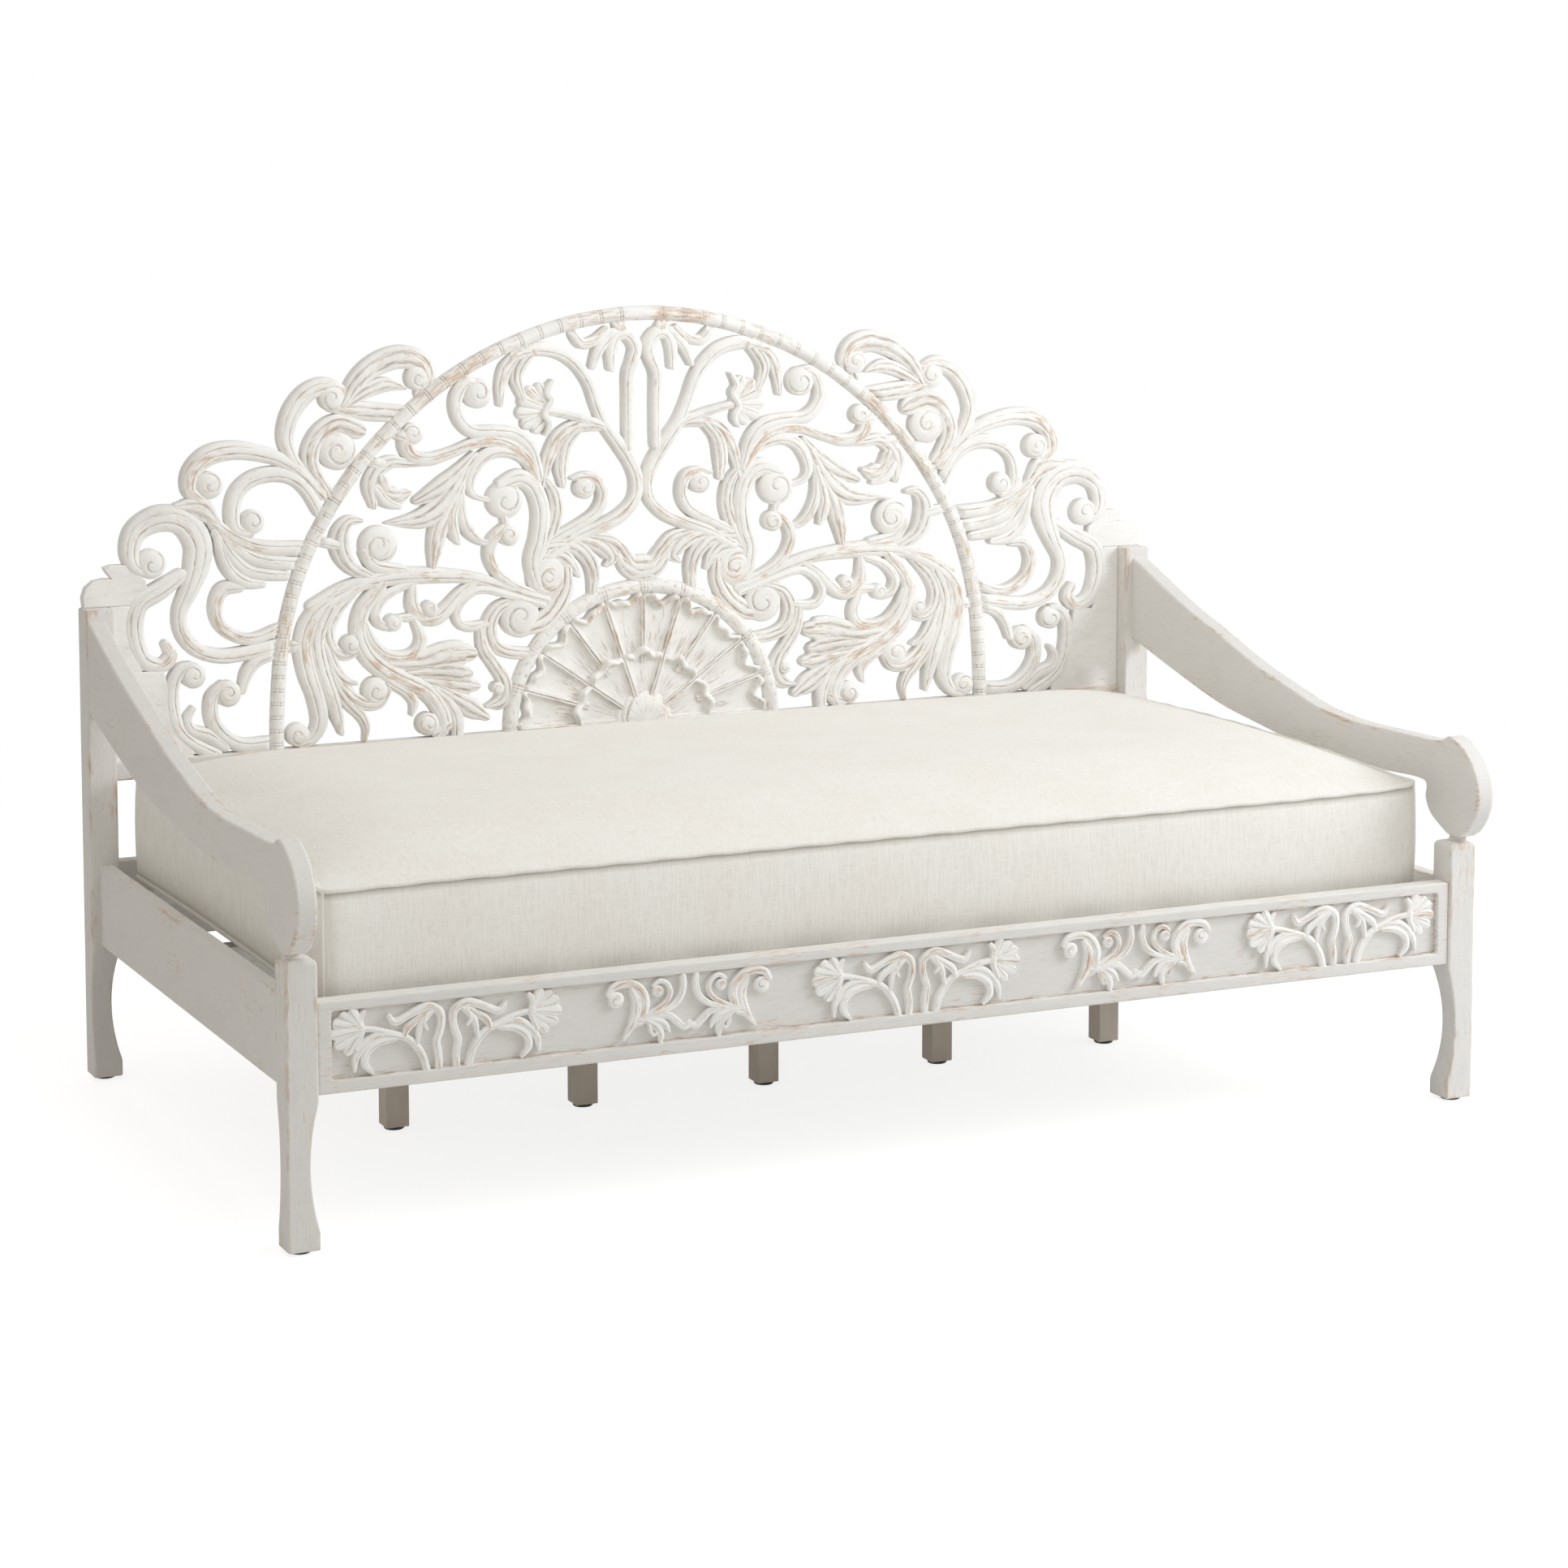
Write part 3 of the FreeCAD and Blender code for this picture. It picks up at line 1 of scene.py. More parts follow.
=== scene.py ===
# %% [markdown]
# # A carved and whitewashed daybed
# The real piece is a long wooden daybed from an Indonesian carver's shop. Its pierced back of curling acanthus
# leaves stands inside an arched rod carved like bamboo, with a half rosette at the bottom. Swept board arms end
# in round knobs over the front legs, a long rail in front carries flowers in relief, and a loose cream mattress
# lies on slats. Everything wooden is painted white and rubbed back until brown wood shows on the ridges.
#
# The measured solids are loaded first as a fixed frame. They say where each piece stands and how large it is, so
# every detailed piece below takes its place from them. All shapes are worked out in millimetres with numpy and
# turned to metres once, when a mesh is made.

import math

import bpy
import numpy as np
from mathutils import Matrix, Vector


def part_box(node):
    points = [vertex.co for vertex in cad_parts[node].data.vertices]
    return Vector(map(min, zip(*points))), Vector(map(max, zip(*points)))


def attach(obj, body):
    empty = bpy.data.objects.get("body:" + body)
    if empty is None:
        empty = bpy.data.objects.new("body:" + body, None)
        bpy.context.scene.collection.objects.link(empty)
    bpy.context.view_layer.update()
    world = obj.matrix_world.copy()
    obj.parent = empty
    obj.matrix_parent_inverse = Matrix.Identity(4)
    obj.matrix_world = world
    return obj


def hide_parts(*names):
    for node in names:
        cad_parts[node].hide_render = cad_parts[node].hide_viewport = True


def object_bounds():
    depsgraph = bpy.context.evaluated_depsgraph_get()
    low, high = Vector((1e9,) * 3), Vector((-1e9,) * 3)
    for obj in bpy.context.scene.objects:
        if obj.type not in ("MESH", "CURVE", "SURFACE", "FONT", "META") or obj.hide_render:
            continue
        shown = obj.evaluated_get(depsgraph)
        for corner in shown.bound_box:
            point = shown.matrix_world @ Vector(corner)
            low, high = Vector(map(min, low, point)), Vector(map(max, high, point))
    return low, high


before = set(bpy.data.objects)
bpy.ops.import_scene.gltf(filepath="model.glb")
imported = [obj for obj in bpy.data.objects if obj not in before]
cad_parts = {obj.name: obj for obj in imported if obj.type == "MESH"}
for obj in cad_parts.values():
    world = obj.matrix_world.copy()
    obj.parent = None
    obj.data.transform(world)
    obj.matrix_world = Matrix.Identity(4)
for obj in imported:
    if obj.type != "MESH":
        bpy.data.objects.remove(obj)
solid_low, solid_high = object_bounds()

TO_METRES = 0.001
FULL_TURN = 2 * math.pi


def node_box(name):
    """Lowest and highest corner of a measured solid, in millimetres."""
    low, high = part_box(name)
    return np.array(low) / TO_METRES, np.array(high) / TO_METRES


rail_low, rail_high = node_box("front_rail")
panel_low, panel_high = node_box("back_arch")
whole_low, whole_high = np.array(solid_low) / TO_METRES, np.array(solid_high) / TO_METRES
print("The solids reach from", whole_low.round(), "to", whole_high.round(), "mm")

# %% [markdown]
# ## How a surface becomes a mesh
# Each shape is a shell: an array of points on a grid, the quads between them, and three notes that the paint
# reads at every point. "rub" says how far the point stands proud, where cloths and hands wear the paint away.
# "groove" says how deep it lies in a cut, where brown wax stays; on the mattress cover it marks painted shade
# beside the welts instead. "flow" is the point's place along and across the carved stem, so that brush marks
# and grain run with the carving and not straight through it.
# Keeping the notes on the points, and not in pictures, lets one paint recipe serve all the woodwork.

# %% Shells and lofts
def grid_quads(rows, columns, wrap=True):
    """Corners of the quads of a grid stored row by row.
    Quad (r, c) joins points (r, c), (r, c+1), (r+1, c+1) and (r+1, c); wrap makes the last column meet the first."""
    across = columns if wrap else columns - 1
    r, c = np.meshgrid(np.arange(rows - 1), np.arange(across), indexing="ij")
    onward = (c + 1) % columns
    quads = [r * columns + c, r * columns + onward, (r + 1) * columns + onward, (r + 1) * columns + c]
    return np.stack(quads, axis=-1).reshape(-1, 4)


def shell(points, quads, caps=(), rub=0.0, groove=0.0, flow=None):
    """One closed surface with its notes. It is turned outside out where its volume comes out negative:
    the sum over all triangles of a . (b x c) / 6, with the middle of the points as origin."""
    points = np.asarray(points, float).reshape(-1, 3)
    flow = points if flow is None else np.asarray(flow, float).reshape(-1, 3)
    caps = [np.asarray(cap) for cap in caps]
    fans = [np.stack([np.full(len(cap) - 2, cap[0]), cap[1:-1], cap[2:]], axis=-1) for cap in caps]
    triangles = np.concatenate([quads[:, [0, 1, 2]], quads[:, [0, 2, 3]]] + fans)
    a, b, c = (points - points.mean(axis=0))[triangles].transpose(1, 0, 2)
    if np.einsum("ij,ij->", a, np.cross(b, c)) < 0:
        quads, caps = quads[:, ::-1], [cap[::-1] for cap in caps]
    count = len(points)
    spread = lambda note: np.broadcast_to(np.asarray(note, float).reshape(-1), count)
    return {"points": points, "quads": quads, "caps": caps, "rub": spread(rub), "groove": spread(groove),
            "flow": flow}


def loft(rings, rub=0.0, groove=0.0, flow=None, capped=True):
    """Join closed rings, an array of rows x points x 3, into a tube; a flat face closes each end."""
    rows, columns = rings.shape[:2]
    ends = [np.arange(columns)[::-1], np.arange((rows - 1) * columns, rows * columns)] if capped else []
    spread = lambda note: np.broadcast_to(np.asarray(note, float), (rows, columns))
    return shell(rings, grid_quads(rows, columns), ends, spread(rub), spread(groove), flow)


# %% Shells become a piece
SHARP_ANGLE = math.radians(42)


def make_piece(name, shells, material, replaces=(), body="frame"):
    """One mesh object from many shells, in metres, with its notes as point attributes."""
    if isinstance(shells, dict):
        shells = [shells]
    starts = np.cumsum([0] + [len(one["points"]) for one in shells[:-1]])
    points = np.concatenate([one["points"] for one in shells]) * TO_METRES
    quads = np.concatenate([one["quads"] + start for one, start in zip(shells, starts)])
    caps = [cap + start for one, start in zip(shells, starts) for cap in one["caps"]]
    corners = np.concatenate([quads.ravel()] + caps).astype(np.int32)
    sizes = np.concatenate([np.full(len(quads), 4), [len(cap) for cap in caps]]).astype(np.int32)
    mesh = bpy.data.meshes.new(name)
    mesh.vertices.add(len(points))
    mesh.vertices.foreach_set("co", points.astype(np.float32).ravel())
    mesh.loops.add(len(corners))
    mesh.loops.foreach_set("vertex_index", corners)
    mesh.polygons.add(len(sizes))
    mesh.polygons.foreach_set("loop_start", (np.cumsum(sizes) - sizes).astype(np.int32))
    mesh.update(calc_edges=True)
    for note in ("rub", "groove"):
        values = np.concatenate([one[note] for one in shells]).astype(np.float32)
        mesh.attributes.new(note, "FLOAT", "POINT").data.foreach_set("value", values)
    flow = np.concatenate([one["flow"] for one in shells]).astype(np.float32) * TO_METRES
    mesh.attributes.new("flow", "FLOAT_VECTOR", "POINT").data.foreach_set("vector", flow.ravel())
    mesh.shade_smooth()
    mesh.set_sharp_from_angle(angle=SHARP_ANGLE)
    piece = bpy.data.objects.new(name, mesh)
    piece.data.materials.append(material)
    bpy.context.scene.collection.objects.link(piece)
    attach(piece, body)
    if replaces:
        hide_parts(*replaces)
    print(name, "has", int(np.sum(sizes - 2)), "triangles")
    return piece


# %% [markdown]
# ## Paint and cloth
# A material is a small network of nodes. Colours are written as the hex values a painter would match on screen,
# and one function turns them to the linear numbers that light is computed in. One more function adds a node
# with its settings and its links. The recipes then need only two steps of their own: a pattern of a real size in
# millimetres, and a coat of colour laid over the paint by a share.

# %% Colour and node helpers
MATH, RANGE = "ShaderNodeMath", "ShaderNodeMapRange"


def linear(hex_colour):
    """sRGB hex to linear red, green, blue, alpha: c/12.92 below 0.04045, else ((c+0.055)/1.055)^2.4."""
    steps = [int(hex_colour[at:at + 2], 16) / 255 for at in (1, 3, 5)]
    return tuple(c / 12.92 if c <= 0.04045 else ((c + 0.055) / 1.055) ** 2.4 for c in steps) + (1.0,)


def add_node(tree, kind, settings=None, **links):
    """Add a node. A setting is a property of the node or the value of an input. A link names the input it feeds,
    with _ for a space or as i and its number, and brings a socket, a node whose first output is meant, or a
    plain number."""
    node = tree.nodes.new(kind)
    for word, value in (settings or {}).items():
        if isinstance(word, str) and hasattr(node, word):
            setattr(node, word, value)
        else:
            node.inputs[word].default_value = value
    for word, source in links.items():
        word = int(word[1:]) if word[0] == "i" and word[1:].isdigit() else word.replace("_", " ")
        if isinstance(source, float):
            node.inputs[word].default_value = source
        else:
            tree.links.new(source.outputs[0] if hasattr(source, "outputs") else source, node.inputs[word])
    return node


def new_material(name):
    """An empty material with a shader and an output already joined."""
    material = bpy.data.materials.new(name)
    material.use_nodes = True
    tree = material.node_tree
    tree.nodes.clear()
    shader = tree.nodes.new("ShaderNodeBsdfPrincipled")
    add_node(tree, "ShaderNodeOutputMaterial", Surface=shader)
    return material, tree, shader


def pattern(tree, place, size, detail=3.0, roughness=0.55):
    """Cloudy noise, from about 0.3 to 0.7, whose blotches are as long, wide and deep as the size says, in
    millimetres: the place is scaled until one unit of it is that far."""
    scale = [1 / (length * TO_METRES) for length in size]
    scaled = add_node(tree, "ShaderNodeVectorMath", {"operation": "MULTIPLY", 1: scale}, i0=place)
    settings = {"Scale": 1.0, "Detail": detail, "Roughness": roughness}
    return add_node(tree, "ShaderNodeTexNoise", settings, Vector=scaled)


def ramp(low, high):
    """Settings of a range node: 0 below low, 1 above high and smooth between. Swapped, they turn it round."""
    return {"interpolation_type": "SMOOTHSTEP", "From Min": min(low, high), "From Max": max(low, high),
            "To Min": float(low > high), "To Max": float(low < high)}


def coat(tree, paint, colour, share, most=1.0):
    """Lay a colour over the paint, which is a hex word or a socket: mix the two by the share times its most."""
    cover = add_node(tree, MATH, {"operation": "MULTIPLY", "use_clamp": True, 1: most}, i0=share)
    settings = {"data_type": "RGBA", 7: linear(colour)}
    if isinstance(paint, str):
        return add_node(tree, "ShaderNodeMix", {**settings, 6: linear(paint)}, Factor=cover).outputs[2]
    return add_node(tree, "ShaderNodeMix", settings, Factor=cover, i6=paint).outputs[2]


# %% [markdown]
# ## Whitewash, rubbed back
# The wood is a pale tropical hardwood, brushed with a thin chalky white, then rubbed with a cloth so that the
# ridges show tan wood, and waxed so that the cuts stay a little brown. Chalk paint is nearly matt: its roughness
# is about 0.8. The recipe lays four things over the white: cool grey clouds about 90 mm long, tan rubs
# stretched along the ridges, brown in the grooves, and tiny dark specks where the grain's pores took wax. The
# pores are truly 0.3 mm wide; they are drawn 1.3 mm wide here so that they show at this distance.

# %% The whitewash recipe
PAINT_WHITE, BOARD_WHITE = "#F5F4F1", "#E4E2DE"
CLOUD_GREY, PORE_DARK = "#DBDAD7", "#5C4D42"
RUBBED_TAN, BARE_WOOD, GROOVE_WAX = "#D2B394", "#A98768", "#A5917D"
# Sizes of the patterns along the grain, across it and into the wood, in millimetres.
CLOUD_SIZE, SMALL_CLOUD_SIZE, PLACE_SIZE = (90, 60, 60), (16, 7, 9), (150, 90, 90)
RUB_SIZE, GRAIN_SIZE, PORE_SIZE, STROKE_SIZE = (26, 4.5, 7), (30, 1.5, 2), (5, 1.3, 1.6), (30, 2.6, 5)
PLAIN_RUB, PLAIN_GROOVE = 0.25, 0.1


def whitewash(name, from_notes=True, tan=1.0, cloud=1.0, patch=0.05, white=PAINT_WHITE):
    """Chalk paint over carved wood. With notes it follows the carving, without them the object's own place."""
    material, tree, shader = new_material(name)
    if from_notes:
        flow = add_node(tree, "ShaderNodeAttribute", {"attribute_name": "flow"}).outputs["Vector"]
        rub = add_node(tree, "ShaderNodeAttribute", {"attribute_name": "rub"}).outputs["Fac"]
        groove = add_node(tree, "ShaderNodeAttribute", {"attribute_name": "groove"}).outputs["Fac"]
    else:
        flow = add_node(tree, "ShaderNodeTexCoord").outputs["Object"]
        rub, groove = PLAIN_RUB, PLAIN_GROOVE
    clouds = pattern(tree, flow, CLOUD_SIZE, 5.0, 0.6)
    small_clouds = pattern(tree, flow, SMALL_CLOUD_SIZE, 4.0, 0.65)
    rubs = pattern(tree, flow, RUB_SIZE, 4.0, 0.62)
    places = pattern(tree, flow, PLACE_SIZE, 2.0)
    grain = pattern(tree, flow, GRAIN_SIZE, 3.0, 0.6)
    pores = pattern(tree, flow, PORE_SIZE, 1.0)
    strokes = pattern(tree, flow, STROKE_SIZE)

    paint = coat(tree, white, CLOUD_GREY, add_node(tree, RANGE, ramp(0.45, 0.72), Value=clouds), 0.5 * cloud)
    spots = add_node(tree, RANGE, ramp(0.52, 0.78), Value=small_clouds)
    paint = coat(tree, paint, CLOUD_GREY, spots, 0.35 * cloud)

    within_reach = add_node(tree, RANGE, ramp(0.36, 0.62), Value=places)
    proud = add_node(tree, MATH, {"operation": "MULTIPLY"}, i0=rub, i1=within_reach)
    reach = add_node(tree, MATH, {"operation": "MULTIPLY_ADD", 1: 0.22}, i0=proud, i2=rubs)
    patches = add_node(tree, RANGE, ramp(0.52, 0.64), Value=places)
    reach = add_node(tree, MATH, {"operation": "MULTIPLY_ADD", 1: patch}, i0=patches, i2=reach)
    worn = add_node(tree, RANGE, ramp(0.63, 0.78), Value=reach)
    paint = coat(tree, paint, RUBBED_TAN, worn, 0.65 * tan)
    paint = coat(tree, paint, BARE_WOOD, add_node(tree, RANGE, ramp(0.79, 0.90), Value=reach), 0.5 * tan)
    paint = coat(tree, paint, CLOUD_GREY, add_node(tree, RANGE, ramp(0.58, 0.76), Value=grain), 0.2)

    deepest = add_node(tree, MATH, {"operation": "POWER", 1: 2.2}, i0=groove)
    wax_left = add_node(tree, RANGE, ramp(0.30, 0.58), Value=small_clouds)
    waxed = add_node(tree, MATH, {"operation": "MULTIPLY"}, i0=deepest, i1=wax_left)
    paint = coat(tree, paint, GROOVE_WAX, waxed, 0.85)
    in_cut = add_node(tree, MATH, {"operation": "MULTIPLY", "use_clamp": True, 1: 1.8}, i0=groove)
    broken = add_node(tree, RANGE, ramp(0.5, 0.64), Value=strokes)
    thin_lines = add_node(tree, MATH, {"operation": "MULTIPLY"}, i0=in_cut, i1=broken)
    paint = coat(tree, paint, GROOVE_WAX, thin_lines, 0.75)
    specks = add_node(tree, RANGE, ramp(0.735, 0.78), Value=pores)
    paint = coat(tree, paint, PORE_DARK, specks, 0.4)
    tree.links.new(paint, shader.inputs["Base Color"])

    gloss = add_node(tree, RANGE, {"To Min": 0.68, "To Max": 0.86}, Value=clouds)
    tree.links.new(gloss.outputs[0], shader.inputs["Roughness"])
    height = add_node(tree, MATH, {"operation": "MULTIPLY", 1: 0.5}, i0=grain)
    for layer, share in ((specks, -0.32), (small_clouds, 0.25), (worn, -0.325 * tan)):
        height = add_node(tree, MATH, {"operation": "MULTIPLY_ADD", 1: share}, i0=layer, i2=height)
    bump = add_node(tree, "ShaderNodeBump", {"Strength": 0.2, "Distance": 0.25 * TO_METRES}, Height=height)
    tree.links.new(bump.outputs[0], shader.inputs["Normal"])
    shader.inputs["Specular IOR Level"].default_value = 0.35
    return material


carved_whitewash = whitewash("rubbed_whitewash_on_carving")
board_whitewash = whitewash("rubbed_whitewash_on_boards", tan=0.7, cloud=0.8, patch=0.09, white=BOARD_WHITE)
hidden_whitewash = whitewash("thin_whitewash_on_slats", from_notes=False, tan=0.5)
print("Whitewash recipes:", carved_whitewash.name, board_whitewash.name, hidden_whitewash.name)

# %% [markdown]
# ## The other finishes
# The legs under the middle are painted a flat taupe grey. The glides are black moulded plastic, fairly rough,
# with a fine grain. The mattress cover is a slubby cotton plain weave: thick and thin threads cross, each slub
# about 3 mm thick and 20 mm long. The threads in between are truly 0.6 mm apart and are drawn 2.4 mm apart so
# that the weave still shows. Painted shade darkens the cover in the crease beside its welts, top and bottom.
# Cloth scatters light at grazing angles, which the sheen stands for.

# %% Taupe paint, glide plastic and mattress cloth
# These taupes are set paler than the real paint, as painted light for the dim space under the bed.
TAUPE_WITH_PAINTED_LIGHT, TAUPE_SHADE, TAUPE_BRUSH = "#E3D8CA", "#D3C7B8", "#EDE4D8"
GLIDE_BLACK, GLIDE_SCUFF = "#141414", "#2B2B2A"
CLOTH, CLOTH_SHADE, CLOTH_SLUB = "#F2F0EA", "#F0EDE6", "#F7F5F0"
WARP_SIZE, WEFT_SIZE = (20, 2.4, 3.0), (2.4, 16, 30)
# The seam colour is painted shade: it darkens the cover in the crease under the top welt and along its bottom edge.
THREAD_GAP, SEAM_SHADE = "#D8D2C6", "#8F8779"


def taupe_paint():
    """Flat oil paint brushed on a plain leg: slow clouds and fine brush marks up the leg."""
    material, tree, shader = new_material("taupe_paint_on_support_legs")
    place = add_node(tree, "ShaderNodeAttribute", {"attribute_name": "flow"}).outputs["Vector"]
    clouds = pattern(tree, place, (80, 30, 30), 4.0)
    brushed = pattern(tree, place, (40, 1.6, 1.6), 2.0)
    paint = coat(tree, TAUPE_WITH_PAINTED_LIGHT, TAUPE_SHADE, add_node(tree, RANGE, ramp(0.4, 0.65), Value=clouds), 0.6)
    paint = coat(tree, paint, TAUPE_BRUSH, add_node(tree, RANGE, ramp(0.5, 0.75), Value=brushed), 0.4)
    tree.links.new(paint, shader.inputs["Base Color"])
    shader.inputs["Roughness"].default_value = 0.7
    bump = add_node(tree, "ShaderNodeBump", {"Strength": 0.2, "Distance": 0.3 * TO_METRES}, Height=brushed)
    tree.links.new(bump.outputs[0], shader.inputs["Normal"])
    return material


def glide_plastic():
    """Black moulded polyethylene: dull, with a fine moulded grain about 0.8 mm across."""
    material, tree, shader = new_material("black_moulded_glide_plastic")
    place = add_node(tree, "ShaderNodeAttribute", {"attribute_name": "flow"}).outputs["Vector"]
    grain = pattern(tree, place, (0.8, 0.8, 0.8), 2.0)
    scuffs = add_node(tree, RANGE, ramp(0.45, 0.75), Value=pattern(tree, place, (9, 9, 9)))
    tree.links.new(coat(tree, GLIDE_BLACK, GLIDE_SCUFF, scuffs), shader.inputs["Base Color"])
    shader.inputs["Roughness"].default_value = 0.55
    bump = add_node(tree, "ShaderNodeBump", {"Strength": 0.3, "Distance": 0.1 * TO_METRES}, Height=grain)
    tree.links.new(bump.outputs[0], shader.inputs["Normal"])
    return material


def slubby_cotton():
    """Cream cotton: long slubs along both threads, the weave, soft clouds of shade and painted shade by the welts.
    """
    material, tree, shader = new_material("cream_slub_cotton_cover")
    place = add_node(tree, "ShaderNodeAttribute", {"attribute_name": "flow"}).outputs["Vector"]
    seam_painted_shade = add_node(tree, "ShaderNodeAttribute", {"attribute_name": "groove"}).outputs["Fac"]
    warp = pattern(tree, place, WARP_SIZE, 2.0, 0.5)
    weft = pattern(tree, place, WEFT_SIZE, 2.0, 0.5)
    clouds = pattern(tree, place, (120, 120, 120))
    thin_warp = add_node(tree, MATH, {"operation": "MULTIPLY", 1: 0.9}, i0=warp)
    threads = add_node(tree, MATH, {"operation": "MAXIMUM"}, i0=thin_warp, i1=weft)
    paint = coat(tree, CLOTH, CLOTH_SHADE, add_node(tree, RANGE, ramp(0.35, 0.7), Value=clouds))
    paint = coat(tree, paint, CLOTH_SLUB, add_node(tree, RANGE, ramp(0.56, 0.76), Value=threads), 0.4)
    paint = coat(tree, paint, THREAD_GAP, add_node(tree, RANGE, ramp(0.53, 0.43), Value=threads), 0.22)
    # Painted shade: the cover is darkened where the groove note marks the welt crease and the bottom edge.
    paint = coat(tree, paint, SEAM_SHADE, seam_painted_shade, 0.75)
    tree.links.new(paint, shader.inputs["Base Color"])
    shader.inputs["Roughness"].default_value = 0.9
    shader.inputs["Sheen Weight"].default_value = 0.25
    shader.inputs["Sheen Roughness"].default_value = 0.5
    shader.inputs["Specular IOR Level"].default_value = 0.2
    bump = add_node(tree, "ShaderNodeBump", {"Strength": 0.6, "Distance": 0.9 * TO_METRES}, Height=threads)
    tree.links.new(bump.outputs[0], shader.inputs["Normal"])
    return material


support_paint = taupe_paint()
glide_black = glide_plastic()
cover_cloth = slubby_cotton()
print("Other finishes:", support_paint.name, glide_black.name, cover_cloth.name)

# %% [markdown]
# ## Boards, legs and rails
# Sawn wood is never a perfect box: its edges are eased by hand, and the paint wears first on those edges. One
# function carries a rectangle with round corners along the longest way of a measured solid. Near each end the
# rectangle shrinks along a quarter circle, which eases the end too. The legs are scooped on their two inner
# faces between the foot block and the rail, and for them the rectangle gives way by the height of an arc.

# %% A board with eased edges
EDGE_ROW, EDGE_SHARE, EDGE_RUB = (1.5, 6.0), (0.15, 0.4), [0.4, 0.1, 0.1, 0.4]
END_NEAR, END_FAR = 2.0, 9.0


def section_ring(half_p, half_q, corner, corner_steps=3):
    """A rectangle with round corners about its middle, and how much each point lies at an edge.
    Corner k turns from k to k+1 quarter turns; further points stand beside each corner along the flat sides."""
    turns = np.linspace(0, FULL_TURN / 4, corner_steps + 1)
    points, edge = [], []
    for at, (sp, sq) in enumerate(((1, 1), (-1, 1), (-1, -1), (1, -1))):
        arc = turns + at * FULL_TURN / 4
        middle = np.array([sp * (half_p - corner), sq * (half_q - corner)])
        points.append(middle + corner * np.stack([np.cos(arc), np.sin(arc)], axis=-1))
        edge.append(np.full(len(arc), 1.0))
        onward = np.array([[-1, 0], [0, -1], [1, 0], [0, 1]][at])
        room = 2 * (half_p if onward[0] else half_q) - 2 * corner
        rows = np.array([min(row, room * share) for row, share in zip(EDGE_ROW, EDGE_SHARE)])
        places = np.concatenate([rows, room - rows[::-1]])
        points.append(points[-1][-1] + places[:, None] * onward)
        edge.append(np.array(EDGE_RUB))
    return np.concatenate(points), np.concatenate(edge)


def board(low, high, ease=3.0, ends=(3.0, 3.0), give=None, pace=30.0, rub=1.0, groove=0.06, seed=0):
    """A board between two corners. give(station) says how far the four sides low p, high p, low q, high q move in.
    The path is the longest way; p and q are the two others in turn. An end face has two smaller rings in it, so
    that the rub at its edge fades within a few millimetres."""
    way = int(np.argmax(high - low))
    p, q = (way + 1) % 3, (way + 2) % 3
    turn = np.linspace(FULL_TURN / 4, 0, 5)
    long = high[way] - low[way]
    start = np.stack([ends[0] * (1 - np.sin(turn)), ends[0] * (1 - np.cos(turn))])
    stop = np.stack([long - ends[1] * (1 - np.sin(turn)), ends[1] * (1 - np.cos(turn))])[:, ::-1]
    room = min(high[p] - low[p], high[q] - low[q]) / 2
    inner = np.minimum([ends[0] + END_FAR, ends[0] + END_NEAR], room * np.array([0.8, 0.5]))
    outer = np.minimum([ends[1] + END_NEAR, ends[1] + END_FAR], room * np.array([0.5, 0.8]))
    count = max(2, int(long / pace))
    middle = np.linspace(ends[0], long - ends[1], count + 1)[1:-1]
    station = np.concatenate([[0.0, 0.0], start[0], middle, stop[0], [long, long]])
    inset = np.concatenate([inner, start[1], np.zeros(len(middle)), stop[1], outer])
    giving = np.zeros((len(station), 4)) if give is None else np.asarray(give(station + low[way]))
    ring, edge = section_ring((high[p] - low[p]) / 2, (high[q] - low[q]) / 2, ease)
    centre = np.array([(low[p] + high[p]) / 2, (low[q] + high[q]) / 2])
    half = np.array([(high[p] - low[p]) / 2, (high[q] - low[q]) / 2])
    share = (ring / half + 1) / 2
    lows = np.stack([-half[0] + giving[:, 0] + inset, -half[1] + giving[:, 2] + inset], axis=-1)
    highs = np.stack([half[0] - giving[:, 1] - inset, half[1] - giving[:, 3] - inset], axis=-1)
    flat = lows[:, None, :] + (highs - lows)[:, None, :] * share[None]
    points = np.zeros((len(station), len(ring), 3))
    points[..., way] = (station + low[way])[:, None]
    points[..., p] = flat[..., 0] + centre[0]
    points[..., q] = flat[..., 1] + centre[1]
    at_end = np.zeros(len(station))
    at_end[2:7] = at_end[-7:-2] = 1.0
    at_end[1] = at_end[-2] = 0.6
    worn = np.maximum(edge[None] * (1 - (inset > 8)[:, None] * 0.8), at_end[:, None]) * rub
    worn[[0, -1]] = 0.15 * rub
    flow = np.stack([points[..., way], points[..., p] + 900 * seed, points[..., q]], axis=-1)
    return loft(points, worn, groove, flow)


# %% [markdown]
# The four corner legs follow. Each is one length of wood: the front pair stops under the arm's knob with a
# rounded top, and the back pair runs up beside the carving. The scoop is an arc of a circle, so its depth at a
# height z is the square root of R^2 - (z - middle)^2, less R, plus the full depth.

# %% Corner legs with scooped inner faces
SCOOP_DEEP = 14.0
FOOT_BLOCK = 34.0
SCOOP_GAP = 10.0
scoop_low, scoop_high = FOOT_BLOCK, rail_low[2] - SCOOP_GAP
scoop_radius = ((scoop_high - scoop_low) ** 2 / 4 + SCOOP_DEEP ** 2) / (2 * SCOOP_DEEP)


def scoop(height):
    """Depth of the scoop at a height, zero outside its two ends."""
    off = np.clip(height - (scoop_low + scoop_high) / 2, -scoop_radius, scoop_radius)
    return np.maximum(np.sqrt(scoop_radius ** 2 - off ** 2) - scoop_radius + SCOOP_DEEP, 0.0)


